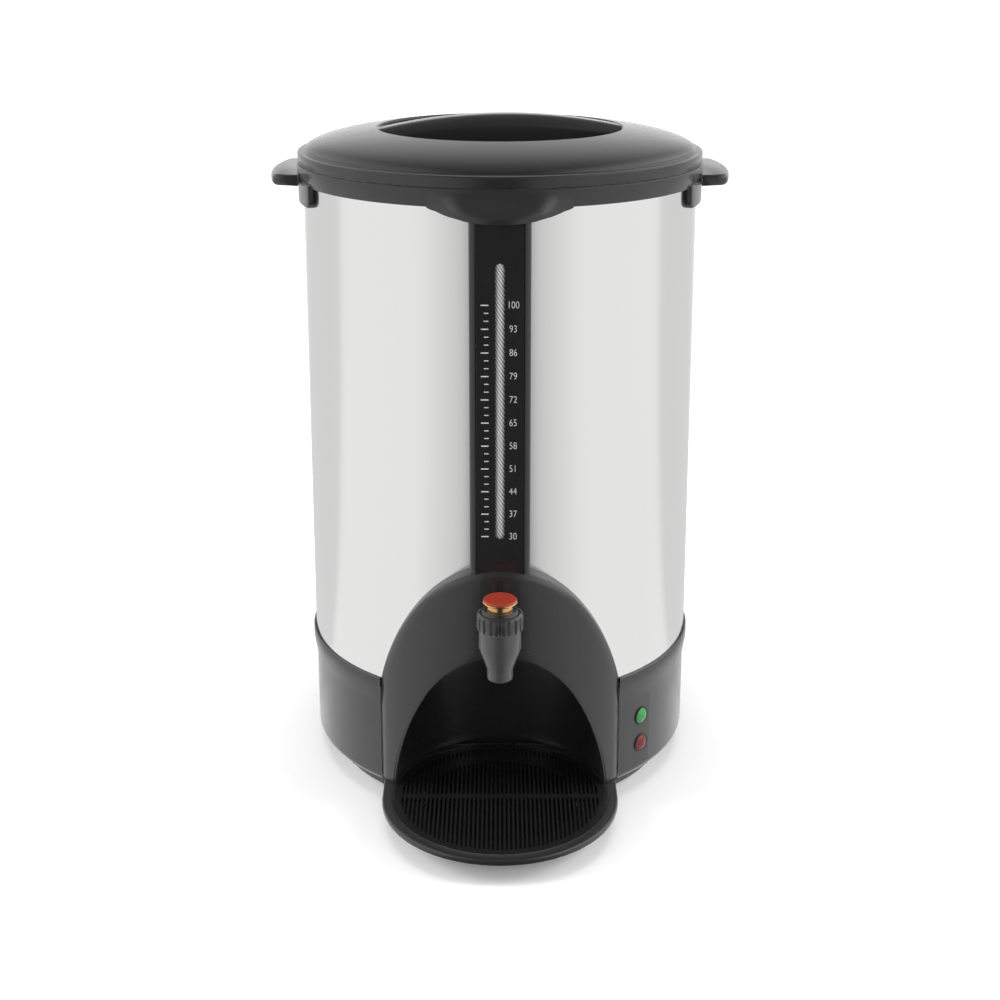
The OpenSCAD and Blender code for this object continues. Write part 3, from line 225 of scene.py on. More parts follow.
for node, slot in slots.items():
    dress(node, slot)
dress("drip_grid", "gloss_black")  # darker in the photograph than its own slot's finish


# ---- Making pieces ----

def add_piece(name, mesh, body, finish):
    mesh.name = name
    mesh.materials.append(FINISH[finish])
    piece = bpy.data.objects.new(name, mesh)
    bpy.context.scene.collection.objects.link(piece)
    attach(piece, body)
    return piece


def smooth_mesh(form, angle):
    """Turns a form into a mesh that is smooth up to an angle between its faces."""
    mesh = bpy.data.meshes.new("piece")
    form.to_mesh(mesh)
    form.free()
    for face in mesh.polygons:
        face.use_smooth = True
    mesh.set_sharp_from_angle(angle=math.radians(angle))
    return mesh


def finished(form, angle=35, outward=True):
    """Makes a form drawn in millimetres a smooth mesh in metres."""
    bmesh.ops.remove_doubles(form, verts=form.verts, dist=0.004)
    if outward:
        bmesh.ops.recalc_face_normals(form, faces=form.faces)
    bmesh.ops.scale(form, vec=(MM, MM, MM), verts=form.verts)
    return smooth_mesh(form, angle)


def sharpen_rim(mesh):
    """Marks the open edges sharp, so that a wall's narrow rim doesn't bend the light on its front."""
    form = bmesh.new()
    form.from_mesh(mesh)
    for edge in form.edges:
        edge.smooth = edge.smooth and not edge.is_boundary
    form.to_mesh(mesh)
    form.free()


def put_in(form, other, place=Matrix()):
    """Moves a second form to its place and adds it to the first."""
    bmesh.ops.recalc_face_normals(other, faces=other.faces)
    mesh = bpy.data.meshes.new("part")
    other.to_mesh(mesh)
    other.free()
    mesh.transform(place)
    form.from_mesh(mesh)
    bpy.data.meshes.remove(mesh)


def chain(form, points, closed=False):
    """Edges through a row of points."""
    verts = [form.verts.new(point) for point in points]
    ends = verts[1:] + verts[:1] if closed else verts[1:]
    return [form.edges.new(pair) for pair in zip(verts, ends)]


def corner(across, height, radius, start, end, steps=5):
    """Points of a round corner in a profile, between two angles in degrees."""
    turns = [math.radians(start + (end - start) * step / steps) for step in range(steps + 1)]
    return [(across + radius * math.cos(turn), height + radius * math.sin(turn)) for turn in turns]


def both_sides(side):
    """Half an outline from its middle outwards, led by its mirror image."""
    return [(-across, height) for across, height in reversed(side[1:])] + side


def ahead(radius, aside):
    """How far a circle lies ahead of its centre, at a distance to the side."""
    return math.sqrt(radius * radius - aside * aside)


def ease(share):
    """A smooth step from 0 to 1."""
    share = min(1, max(0, share))
    return share * share * (3 - 2 * share)


def verts_of(made):
    return [item for item in made["geom"] if isinstance(item, bmesh.types.BMVert)]


def raised_plate(outline, lift):
    """A flat outline raised to a plate, and the vertices of its raised face."""
    form = bmesh.new()
    flat = form.faces.new([form.verts.new(point) for point in outline])
    raised = verts_of(bmesh.ops.extrude_face_region(form, geom=[flat]))
    bmesh.ops.translate(form, vec=lift, verts=raised)
    return form, raised


def turned(form, profile, closed=False, steps=192):
    """A profile of radius and height turned about the upright axis, in an empty form."""
    chain(form, [(across, 0, height) for across, height in profile], closed)
    bmesh.ops.spin(form, geom=form.verts[:] + form.edges[:], cent=(0, 0, 0), axis=(0, 0, 1),
                   angle=math.tau, steps=steps, use_merge=True)


def bevelled(form, edges, width, segments):
    bmesh.ops.bevel(form, geom=edges, offset=width, offset_type="OFFSET", segments=segments, profile=0.5,
                    affect="EDGES", material=-1)


def cut(form, place, side, trim=False):
    """Cuts a form along a plane, and with trim takes off what lies beyond it."""
    bmesh.ops.bisect_plane(form, geom=form.verts[:] + form.edges[:] + form.faces[:], dist=0.001,
                           plane_co=place, plane_no=side, clear_outer=trim)


def cut_upright(form, places):
    """Cuts a flat form at several places across it, so that it can bend there."""
    for place in places:
        cut(form, (place, 0, 0), (1, 0, 0))


# ---- Copies of the frame's own shapes with eased edges ----

EASED_ANGLE = 32


def eased_copy(node, body, finish, width):
    """The node's own shape with its hard edges rounded over."""
    form = bmesh.new()
    form.from_mesh(nodes[node].data)
    bmesh.ops.remove_doubles(form, verts=form.verts, dist=0.02 * MM)
    bmesh.ops.dissolve_limit(form, angle_limit=math.radians(0.6), verts=form.verts, edges=form.edges)
    piece = add_piece("eased_" + node, smooth_mesh(form, EASED_ANGLE), body, finish)
    rounding = piece.modifiers.new("eased_edges", "BEVEL")
    rounding.width = width * MM
    rounding.segments = 3
    rounding.limit_method = "ANGLE"
    rounding.angle_limit = math.radians(EASED_ANGLE)
    rounding.harden_normals = True
    rounding.use_clamp_overlap = True
    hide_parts(node)


eased_copy("base_shell", "urn", "black_plastic", 0.35)
eased_copy("gauge_column", "urn", "gloss_black", 0.5)
eased_copy("gauge_panel", "urn", "gloss_black", 0.5)
eased_copy("tap_body", "urn", "tap_plastic", 0.8)


# ---- Lid ----

LID_R = 143.6
LID_WALL = 2.5
LID_TURN = 7.5
FLANGE_TOP_Z = SEAM_Z + 7.4
FLANGE_EDGE_R = 1
DOME_R = 138.6
DOME_RISE = 19.2
DOME_LOW_Z = SEAM_Z + 7.8
DOME_END_TURN = 4.2
GROOVE_R = 1.8
GROOVE_REACH = 1.43
RECESS_R = 86.5
RECESS_FLOOR_Z = SEAM_Z + 5
RECESS_CORNER_R = 2
LIP_R = 1.5
LIP_REACH = 1.67
LIP_RISE = 1.49
LIP_END_TURN = 84
SKIRT_R = 133.9
SKIRT_DEPTH = 9
SMALL_EDGE_R = 0.4
BAR_CROWN_Z = 477
BAR_ARC_R = 394.6
BAR_HALF_W = 13
BAR_EDGE_R = 8
BAR_SWEEP = 28
BAR_HALF_LEN = 88
BAR_LOW_Z = RECESS_FLOOR_Z - 1.2


def dome_point(angle, inset=0):
    turn = math.radians(angle)
    return ((DOME_R - inset) * math.cos(turn), DOME_LOW_Z + (DOME_RISE - inset) * math.sin(turn))


def lid():
    """Dome with a round recess, a flange that rests on the collar, and a skirt inside the tank's rim."""
    lip_turn = math.degrees(math.acos((RECESS_R + LIP_REACH) / DOME_R))
    lip_z = dome_point(lip_turn)[1] - LIP_RISE
    recess = ([(0, RECESS_FLOOR_Z)]
              + corner(RECESS_R - RECESS_CORNER_R, RECESS_FLOOR_Z + RECESS_CORNER_R, RECESS_CORNER_R, -90, 0)
              + corner(RECESS_R + LIP_R, lip_z, LIP_R, 180, LIP_END_TURN))
    dome = [dome_point(lip_turn + (DOME_END_TURN - lip_turn) * step / 30) for step in range(31)]
    flange = (corner(DOME_R + GROOVE_REACH, FLANGE_TOP_Z + GROOVE_R, GROOVE_R, 180, 270)
              + corner(LID_R - FLANGE_EDGE_R, FLANGE_TOP_Z - FLANGE_EDGE_R, FLANGE_EDGE_R, 90, 0)
              + corner(LID_R - SMALL_EDGE_R, SEAM_Z + SMALL_EDGE_R, SMALL_EDGE_R, 0, -90, 2))
    skirt_z = SEAM_Z - SKIRT_DEPTH + SMALL_EDGE_R
    skirt_in_r = SKIRT_R - LID_WALL
    skirt = ([(SKIRT_R, SEAM_Z)] + corner(SKIRT_R - SMALL_EDGE_R, skirt_z, SMALL_EDGE_R, 0, -90, 2)
             + corner(skirt_in_r + SMALL_EDGE_R, skirt_z, SMALL_EDGE_R, -90, -180, 2)
             + [(skirt_in_r, SEAM_Z + LID_WALL)])
    inner_turn = math.degrees(math.acos((RECESS_R + LID_WALL) / (DOME_R - LID_WALL)))
    under_z = RECESS_FLOOR_Z - LID_WALL
    underside = ([(DOME_R - LID_WALL, SEAM_Z + LID_WALL)]
                 + [dome_point(inner_turn * step / 12, LID_WALL) for step in range(13)]
                 + [(RECESS_R + LID_WALL, under_z), (0, under_z)])
    form = bmesh.new()
    turned(form, recess + dome + flange + skirt + underside)
    put_in(form, handle_bar(), Matrix.Rotation(math.radians(LID_TURN), 4, "Z"))
    piece = add_piece("lid_shell_dressed", finished(form, 40), "lid", "charcoal_plastic")
    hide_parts("lid_shell")


def handle_bar():
    """Arched bar across the recess, whose ends lie inside the lid's wall."""
    foot_z = RECESS_FLOOR_Z - 1
    edge_z = BAR_CROWN_Z - BAR_EDGE_R
    section = ([(-BAR_HALF_W, foot_z)] + corner(-BAR_HALF_W + BAR_EDGE_R, edge_z, BAR_EDGE_R, 180, 90, 8)
               + corner(BAR_HALF_W - BAR_EDGE_R, edge_z, BAR_EDGE_R, 90, 0, 8) + [(BAR_HALF_W, foot_z)])
    bar = bmesh.new()
    edges = chain(bar, [(0, across, height) for across, height in section], closed=True)
    verts = list(bar.verts)
    centre = (0, 0, BAR_CROWN_Z - BAR_ARC_R)
    sweep = math.radians(BAR_SWEEP)
    bmesh.ops.rotate(bar, cent=centre, matrix=Matrix.Rotation(-sweep / 2, 3, "Y"), verts=verts)
    bmesh.ops.spin(bar, geom=verts + edges, cent=centre, axis=(0, 1, 0), angle=sweep, steps=48)
    cut(bar, (BAR_HALF_LEN, 0, 0), (1, 0, 0), trim=True)
    cut(bar, (-BAR_HALF_LEN, 0, 0), (-1, 0, 0), trim=True)
    cut(bar, (0, 0, BAR_LOW_Z), (0, 0, -1), trim=True)
    bmesh.ops.holes_fill(bar, edges=bar.edges, sides=0)
    return bar


lid()


# ---- Collar with its side handles, legs and visor ----

COLLAR_R = 142.2
COLLAR_IN_R = 134.5
COLLAR_LOW_Z = 432
COLLAR_EDGE_R = 0.5
BAND_R = 144.3
BAND_Z = 440.9
BAND_TOP_Z = SEAM_Z - 0.8
LEDGE_R = 140.6
RIM_SLOT_IN_R = 139
RIM_SLOT_OUT_R = TANK_R + 0.2
RIM_SLOT_LOW_Z = 433
RIM_SLOT_TOP_Z = 439.3
VISOR_HALF_W = 47
VISOR_REACH = 155
VISOR_TOP_Z = SEAM_Z - 1.4
VISOR_LOW_Z = 423.6
VISOR_ARC_R = 147
VISOR_EDGE_R = 0.9
HANDLE_REACH = 162.3
HANDLE_IN_R = 139.5
HANDLE_HALF_LEN = 44.5
HANDLE_TOP_Z = 439.3
HANDLE_T = 7.8
HANDLE_CORNER_R = 8
HANDLE_EDGE_R = 3
LEG_TURN = 71.2
LEG_HALF_W = 16.5
LEG_DROP = 14
LEG_CORNER_R = 6
LEG_EDGE_R = 1.2
LEG_T = 4
LEG_OVERLAP = 2


def collar_ring(form):
    """Ring with a slot for the tank's rim and a band that widens to the lid's flange."""
    rim_slot = [(COLLAR_IN_R, RIM_SLOT_LOW_Z), (RIM_SLOT_IN_R, RIM_SLOT_LOW_Z),
                (RIM_SLOT_IN_R, RIM_SLOT_TOP_Z), (RIM_SLOT_OUT_R, RIM_SLOT_TOP_Z),
                (RIM_SLOT_OUT_R, COLLAR_LOW_Z)]
    band = corner(COLLAR_R - COLLAR_EDGE_R, COLLAR_LOW_Z + COLLAR_EDGE_R, COLLAR_EDGE_R, -90, -5, 3)
    band += [(BAND_R, BAND_Z)]
    band += corner(BAND_R - COLLAR_EDGE_R, BAND_TOP_Z - COLLAR_EDGE_R, COLLAR_EDGE_R, 0, 90, 3)
    ledge = [(LEDGE_R, BAND_TOP_Z), (LEDGE_R, SEAM_Z), (COLLAR_IN_R, SEAM_Z)]
    turned(form, rim_slot + band + ledge, closed=True, steps=240)


def visor():
    """Round boss over the gauge that grows out of the collar without a step."""
    flat_share = 0.55
    end_share = 0.35
    swell = 1.15
    sag = VISOR_REACH - ahead(COLLAR_R, VISOR_HALF_W)
    plan_r = (VISOR_HALF_W ** 2 + sag ** 2) / (2 * sag)
    form = bmesh.new()
    bmesh.ops.create_grid(form, x_segments=56, y_segments=20, size=1)
    lower = [edge for edge in form.edges if all(vert.co.y < -0.999 for vert in edge.verts)]
    for vert in form.verts:
        across, down = vert.co.x, (1 - vert.co.y) / 2
        x = across * VISOR_HALF_W
        low_z = VISOR_LOW_Z + VISOR_ARC_R - ahead(VISOR_ARC_R, x)
        z = VISOR_TOP_Z + (low_z - VISOR_TOP_Z) * down
        rise = min(1, max(0, (z - COLLAR_LOW_Z) / (BAND_Z - COLLAR_LOW_Z)))
        band = ahead(COLLAR_R + (BAND_R - COLLAR_R) * rise, x)
        bulge = VISOR_REACH - plan_r + ahead(plan_r, x) - ahead(COLLAR_R, x)
        shoulder = 1 - ease((abs(across) - flat_share) / (1 - flat_share))
        proud = bulge * (end_share + (1 - end_share) * shoulder) * ease(down * swell)
        vert.co = (x, -(band + HAIR + proud), z)
    for vert in verts_of(bmesh.ops.extrude_edge_only(form, edges=lower)):
        vert.co.y = -ahead(RIM_SLOT_OUT_R + 0.1, vert.co.x)
    bevelled(form, lower, VISOR_EDGE_R, 3)
    return form


def side_handle():
    """Flat handle with a round edge, whose outer end is an arc about the tank's axis."""
    centre_r = HANDLE_REACH - HANDLE_CORNER_R
    turn = math.asin((HANDLE_HALF_LEN - HANDLE_CORNER_R) / centre_r)
    end = (centre_r * math.cos(turn), centre_r * math.sin(turn))
    side = corner(0, 0, HANDLE_REACH, 0, math.degrees(turn), 8)[:-1]
    side += corner(*end, HANDLE_CORNER_R, math.degrees(turn), 90, 6) + [(HANDLE_IN_R, HANDLE_HALF_LEN)]
    outline = [(x, -y) for x, y in reversed(side[1:])] + side
    low_z = HANDLE_TOP_Z - HANDLE_T
    form, _ = raised_plate([(x, y, low_z) for x, y in outline], (0, 0, HANDLE_T))
    rim = [edge for edge in form.edges if abs(edge.verts[0].co.z - edge.verts[1].co.z) < 0.01
           and all(vert.co.x > TANK_R for vert in edge.verts)]
    bevelled(form, rim, HANDLE_EDGE_R, 5)
    return form


def fixing_leg():
    """Plate with round lower corners, bent to the tank."""
    low_z = COLLAR_LOW_Z - LEG_DROP
    side = [(0, low_z)] + corner(LEG_HALF_W - LEG_CORNER_R, low_z + LEG_CORNER_R, LEG_CORNER_R, -90, 0, 6)
    side += [(LEG_HALF_W, COLLAR_LOW_Z + LEG_OVERLAP)]
    form, front = raised_plate([(x, 0, z) for x, z in both_sides(side)], (0, -LEG_T, 0))
    rim = [edge for edge in form.edges if all(vert in front for vert in edge.verts)
           and any(vert.co.z < COLLAR_LOW_Z for vert in edge.verts)]
    bevelled(form, rim, LEG_EDGE_R, 3)
    cut_upright(form, range(-12, 13, 4))
    for vert in form.verts:
        turn = vert.co.x / RIM_SLOT_OUT_R
        reach = RIM_SLOT_OUT_R - vert.co.y
        vert.co = (reach * math.sin(turn), -reach * math.cos(turn), vert.co.z)
    return form


def collar():
    form = bmesh.new()
    collar_ring(form)
    put_in(form, visor())
    for turn in (0, 180):
        put_in(form, side_handle(), Matrix.Rotation(math.radians(turn), 4, "Z"))
    for turn in (LEG_TURN, 180 - LEG_TURN, 180 + LEG_TURN, -LEG_TURN):
        put_in(form, fixing_leg(), Matrix.Rotation(math.radians(turn), 4, "Z"))
    piece = add_piece("collar_dressed", finished(form, 38, outward=False), "urn", "charcoal_plastic")
    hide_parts("collar")


collar()


# ---- Hood over the cup alcove ----

HOOD_HALF_W = 83.8
HOOD_CROWN_Z = 191.5
HOOD_FOOT_Z = 19
HOOD_REACH = 155
HOOD_BACK = 103.9
HOOD_R = 103.91
HOOD_DEPTH = 20
HOOD_EDGE_R = 4.5
HOOD_WALL = 1.8
HOOD_GAP = 0.3
FOOT_CUTS = (-78.6, -77.5, -76.4, 76.4, 77.5, 78.6)
BASE_TOP_Z = 90
MOUTH_HALF_W = 73.5
MOUTH_CROWN_Z = 130
MOUTH_DEPTH = 3.2
MOUTH_EDGE_R = 1
RIB_HALF_W = 20
RIB_Z = 133.6
RIB_T = 1.2
RIB_EDGE_R = 0.3


def arch(half_w, crown_z, crown_pull, side_pull_z, spring_z):
    """Points over an arch from its left foot to its right foot, a little longer than the hood's feet.

    crown_pull is how far the crown's curve is pulled sideways, side_pull_z how far up the sides' curve
    is pulled, and spring_z the height where the sides turn straight.
    """
    side = []
    steps = 26
    for step in range(steps + 1):
        t = step / steps
        u = 1 - t
        side.append((3 * u * u * t * crown_pull + (3 * u + t) * t * t * half_w,
                     (u + 3 * t) * u * u * crown_z + 3 * u * t * t * side_pull_z + t ** 3 * spring_z))
    side.append((half_w, HOOD_FOOT_Z - 9))
    return [(x, 0, z) for x, z in both_sides(side)]


def hood_front(x):
    return -(HOOD_REACH - HOOD_R + ahead(HOOD_R, x))


def bend_to_hood(form):
    """Bends a flat hood to its plan, and brings its outer edge back to the tank.

    The round edge is flatter beside the base, and where the tank comes close behind it.
    """
    flatter = 0.7
    full_room = 6
    for vert in form.verts:
        x, depth, z = vert.co
        front = hood_front(x)
        beside_base = z < BASE_TOP_Z
        back = -HOOD_BACK if beside_base else -ahead(TANK_R + HOOD_GAP, x)
        room = max(HAIR, back - front)
        if depth > HOOD_DEPTH - 1:
            vert.co.y = front + room
        else:
            vert.co.y = front + depth * min(flatter if beside_base else 1, room / full_room)


def facing(edge):
    """How far the faces at an edge look ahead, from 0 to 1, the least first."""
    return sorted(abs(face.normal.y) for face in edge.link_faces)


def hood():
    """Arched front with a round outer edge, closed back to the tank and the base, with a wall."""
    form = bmesh.new()
    outer = chain(form, arch(HOOD_HALF_W, HOOD_CROWN_Z, crown_pull=60.7, side_pull_z=103.6, spring_z=88.1))
    inner = chain(form, arch(MOUTH_HALF_W, MOUTH_CROWN_Z, crown_pull=56, side_pull_z=38, spring_z=20))
    bmesh.ops.bridge_loops(form, edges=outer + inner)
    for edges, depth in ((outer, HOOD_DEPTH), (inner, MOUTH_DEPTH)):
        made = verts_of(bmesh.ops.extrude_edge_only(form, edges=edges))
        bmesh.ops.translate(form, vec=(0, depth, 0), verts=made)
    bevelled(form, outer, HOOD_EDGE_R, 6)
    mouth = [edge for edge in form.edges if len(edge.link_faces) == 2
             and facing(edge)[0] < 0.01 and facing(edge)[1] > 0.99]
    bevelled(form, mouth, MOUTH_EDGE_R, 3)
    # The front is cut finely round the arch, and its feet upright, so that it bends without creases
    rungs = [edge for edge in form.edges if len(edge.link_faces) == 2 and facing(edge)[0] > 0.99
             and all(abs(vert.co.y) < 0.001 for vert in edge.verts)]
    bmesh.ops.subdivide_edges(form, edges=rungs, cuts=8, use_grid_fill=True)
    cut(form, (0, 0, HOOD_FOOT_Z), (0, 0, -1), trim=True)
    cut_upright(form, FOOT_CUTS)
    bend_to_hood(form)
    # An open form has no inside, so a face beside the crown tells which way is out
    bmesh.ops.recalc_face_normals(form, faces=form.faces)
    beside_crown = Vector((30, hood_front(30), 160))
    front = min(form.faces, key=lambda face: (face.calc_center_median() - beside_crown).length)
    if front.normal.y > 0:
        bmesh.ops.reverse_faces(form, faces=form.faces)
    mesh = finished(form, 40, outward=False)
    sharpen_rim(mesh)
    piece = add_piece("hood_dressed", mesh, "urn", "charcoal_plastic")
    wall = piece.modifiers.new("wall", "SOLIDIFY")
    wall.thickness = HOOD_WALL * MM
    wall.offset = -1
    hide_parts("hood")


def drip_rib():
    """Thin rib above the alcove's mouth."""
    form = bmesh.new()
    made = bmesh.ops.create_cube(form, size=1)["verts"]
    bmesh.ops.scale(form, vec=(2 * RIB_HALF_W, 2, RIB_T), verts=made)
    bmesh.ops.translate(form, vec=(0, 0, RIB_Z + RIB_T / 2), verts=made)
    bevelled(form, form.edges[:], RIB_EDGE_R, 2)
    cut_upright(form, range(-16, 17, 4))
    for vert in form.verts:
        vert.co.y += hood_front(vert.co.x) + 0.5
    add_piece("drip_rib", finished(form), "urn", "charcoal_plastic")


hood()
drip_rib()


# ---- Drip tray ----

TRAY_R = 82
TRAY_AHEAD = 139
TRAY_TOP_Z = 18.6
TRAY_LOW_Z = 14.6
TRAY_BACK = 75
TRAY_FLOOR_Z = 15.6
TRAY_TOP_EDGE_R = 1.3
TRAY_LOW_EDGE_R = 0.8
GRID_HOLE_R = 74.3
GRID_HOLE_EDGE_R = 0.35
GRID_LEDGE_Z = 16.55
GRID_LEDGE_IN_R = 70
TUB_R = 56
TUB_LOW_Z = 4.4
TUB_WALL = 2


def tray_turns():
    """Angles round the tray, closer together at its straight sides and its back corners."""
    corner_turn = math.atan2(TRAY_BACK, TRAY_R)
    stretches = ((0, corner_turn, 12), (corner_turn, math.pi - corner_turn, 24),
                 (math.pi - corner_turn, math.pi, 12), (math.pi, math.tau, 72))
    return [start + (end - start) * step / count
            for start, end, count in stretches for step in range(count)]


def tray_outline(z):
    """Round in front, straight at the sides and the back, with a point for each point of a circle."""
    points = []
    for turn in tray_turns():
        aside, back = math.cos(turn), math.sin(turn)
        if back <= 0:
            reach = TRAY_R
        else:
            reach = min(TRAY_R / max(abs(aside), 1e-6), TRAY_BACK / back)
        points.append((reach * aside, reach * back, z))
    return points


def tray_circle(radius, z):
    return [(radius * math.cos(turn), radius * math.sin(turn), z) for turn in tray_turns()]


def tray():
    """Flat tray with a hole and a ledge for the grid, over a round tub."""
    form = bmesh.new()
    loops = [chain(form, points, closed=True) for points in (
        tray_circle(TUB_R, TUB_LOW_Z),
        tray_circle(TUB_R, TRAY_LOW_Z),
        tray_outline(TRAY_LOW_Z),
        tray_outline(TRAY_TOP_Z),
        tray_circle(GRID_HOLE_R, TRAY_TOP_Z),
        tray_circle(GRID_HOLE_R, GRID_LEDGE_Z),
        tray_circle(GRID_LEDGE_IN_R, GRID_LEDGE_Z),
        tray_circle(GRID_LEDGE_IN_R, TRAY_FLOOR_Z),
        tray_circle(TUB_R - TUB_WALL, TRAY_FLOOR_Z),
        tray_circle(TUB_R - TUB_WALL, TUB_LOW_Z + TUB_WALL),
    )]
    for lower, upper in zip(loops, loops[1:]):
        bmesh.ops.bridge_loops(form, edges=lower + upper)
    bmesh.ops.holes_fill(form, edges=loops[0] + loops[-1], sides=0)
    bmesh.ops.translate(form, vec=(0, -TRAY_AHEAD, 0), verts=form.verts)
    low_edge, top_edge, hole_edge = loops[2:5]
    bevelled(form, top_edge, TRAY_TOP_EDGE_R, 4)
    bevelled(form, low_edge, TRAY_LOW_EDGE_R, 2)
    bevelled(form, hole_edge, GRID_HOLE_EDGE_R, 2)
    piece = add_piece("drip_tray_dressed", finished(form, 30), "tray", "black_plastic")
    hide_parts("drip_tray")


tray()


# ---- Ring nut and bright cap of the tap ----

TAP_AHEAD = 175
BONNET_R = 15.3
BONNET_EDGE = 0.6
BONNET_BORE_R = 12.45
BONNET_LOW_Z = 161.05
BONNET_BORE_TOP_Z = 170.05
BONNET_TOP_Z = 174.3
GRIP_MIDDLE_Z = 166
GRIP_TOP_Z = 171
SHOULDER_R = 13.2
SHOULDER_Z = 171.1
SHOULDER_ROUND_R = 1.2
COVE_R = 12.3
COVE_Z = 173.1
CROWN_R = 10.7
CROWN_ROUND_R = 0.8
GROOVES = 18
GROOVE_DEPTH = 0.9
GROOVE_STARTS = -0.1
GROOVE_FULL = 0.6
SLEEVE_R = 8.8
SLEEVE_GAP = 0.2
CAP_R = 11.5
CAP_LOW_Z = 169.6
CAP_TOP_Z = 180.38
CAP_BORE_R = 7.4
CAP_BORE_TOP_Z = 177.9
CAP_NECK_R = 1.6
CAP_NECK_Z = 177.6
CAP_RIM_R = 0.5


def tap_bonnet():
    """Ring nut with grip grooves below and a stepped round top."""
    neck_r = SLEEVE_R + SLEEVE_GAP
    profile = [(BONNET_BORE_R, BONNET_LOW_Z), (BONNET_R - BONNET_EDGE, BONNET_LOW_Z),
               (BONNET_R, BONNET_LOW_Z + BONNET_EDGE), (BONNET_R, GRIP_MIDDLE_Z),
               (BONNET_R, GRIP_TOP_Z - BONNET_EDGE), (BONNET_R - 0.5, GRIP_TOP_Z + 0.3)]
    profile += corner(SHOULDER_R, SHOULDER_Z, SHOULDER_ROUND_R, 50, 90)
    profile += corner(COVE_R, COVE_Z, CROWN_ROUND_R, 270, 180)
    profile += corner(CROWN_R, BONNET_TOP_Z - CROWN_ROUND_R, CROWN_ROUND_R, 0, 90)
    profile += [(neck_r, BONNET_TOP_Z), (neck_r, BONNET_BORE_TOP_Z), (BONNET_BORE_R, BONNET_BORE_TOP_Z)]
    form = bmesh.new()
    turned(form, profile, closed=True, steps=16 * GROOVES)
    for vert in form.verts:
        across = math.hypot(vert.co.x, vert.co.y)
        if across > BONNET_R - 0.8 and vert.co.z < GRIP_TOP_Z:
            wave = -math.cos(GROOVES * math.atan2(vert.co.y, vert.co.x))
            depth = GROOVE_DEPTH * ease((wave - GROOVE_STARTS) / (GROOVE_FULL - GROOVE_STARTS))
            share = 1 - depth / across
            vert.co.x *= share
            vert.co.y *= share
    bmesh.ops.translate(form, vec=(0, -TAP_AHEAD, 0), verts=form.verts)
    piece = add_piece("tap_bonnet_dressed", finished(form, 50), "urn", "black_plastic")
    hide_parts("tap_bonnet")


def tap_cap():
    """Sleeve round the stem that opens into the disc under the button."""
    profile = [(0, CAP_BORE_TOP_Z), (CAP_BORE_R, CAP_BORE_TOP_Z), (CAP_BORE_R, CAP_LOW_Z),
               (SLEEVE_R, CAP_LOW_Z)]
    profile += corner(SLEEVE_R + CAP_NECK_R, CAP_NECK_Z, CAP_NECK_R, 180, 95)
    profile += corner(CAP_R - CAP_RIM_R, CAP_TOP_Z - 0.6, CAP_RIM_R, -80, 70) + [(0, CAP_TOP_Z)]
    form = bmesh.new()
    turned(form, profile, steps=96)
    bmesh.ops.translate(form, vec=(0, -TAP_AHEAD, 0), verts=form.verts)
    piece = add_piece("tap_cap_dressed", finished(form, 40), "plunger", "cap_metal")
    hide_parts("tap_cap")


tap_bonnet()
tap_cap()


# ---- Rings around the lamps ----

BASE_R = 139.5
LAMP_TURN = 46.5
LAMP_ZS = (57.7, 36.6)
RING_R = 6.3
RING_BEAD_R = 0.75
RING_PROUD = 0.1


def lamp_rings():
    """Round beads set in the base around both lenses."""
    form = bmesh.new()
    for z in LAMP_ZS:
        ring = bmesh.new()
        turned(ring, corner(RING_R, 0, RING_BEAD_R, 0, 360, 12)[:-1], closed=True, steps=64)
        put_in(form, ring, Matrix.Rotation(math.radians(LAMP_TURN), 4, "Z")
               @ Matrix.Translation((0, -BASE_R - RING_PROUD, z))
               @ Matrix.Rotation(math.radians(90), 4, "X"))
    add_piece("lamp_rings", finished(form, 40), "urn", "gloss_black")


lamp_rings()


# ---- Gauge scale: figures and marks on the front panel ----

PANEL_FRONT = 151.5
PRINT_FRONT = PANEL_FRONT + 0.03
COUNTS = range(30, 101, 7)
SCALE_LOW_Z = 215.5
SCALE_HIGH_Z = 371.7
FIGURE_X = 8.5
FIGURE_H = 4.7
FIGURE_NARROW = 0.8
FONT_SIZE_TO_H = 1.42
MARK_END_X = -7.4
LONG_MARK_X = -12.3
SHORT_MARK_X = -10.3
LONG_MARK_H = 0.75
SHORT_MARK_H = 0.6
MARK_T = 0.06


def figure_mesh(text):
    """Figures as a thin mesh that lies flat, in metres."""
    curve = bpy.data.curves.new("figure", "FONT")
    curve.body = text
    curve.size = FIGURE_H * MM * FONT_SIZE_TO_H
    curve.align_x = "CENTER"
    curve.align_y = "CENTER"
    curve.offset = -0.09 * MM
    curve.extrude = 0.04 * MM
    holder = bpy.data.objects.new("figure", curve)
    bpy.context.scene.collection.objects.link(holder)
    bpy.context.view_layer.update()
    mesh = bpy.data.meshes.new_from_object(holder.evaluated_get(bpy.context.evaluated_depsgraph_get()))
    bpy.data.objects.remove(holder)
    return mesh


def add_figure(form, text, z):
    """Stands a figure up on the panel, a little narrower than the font draws it."""
    mesh = figure_mesh(text)
    mesh.transform(Matrix.Translation((FIGURE_X * MM, -PRINT_FRONT * MM, z * MM))
                   @ Matrix.Rotation(math.radians(90), 4, "X") @ Matrix.Diagonal((FIGURE_NARROW, 1, 1, 1)))
    form.from_mesh(mesh)
    bpy.data.meshes.remove(mesh)


def add_mark(form, start, height, z):
    made = bmesh.ops.create_cube(form, size=MM)["verts"]
    middle = (start + MARK_END_X) / 2
    bmesh.ops.scale(form, vec=(MARK_END_X - start, MARK_T, height), verts=made)
    bmesh.ops.translate(form, vec=(middle * MM, -PRINT_FRONT * MM, z * MM), verts=made)


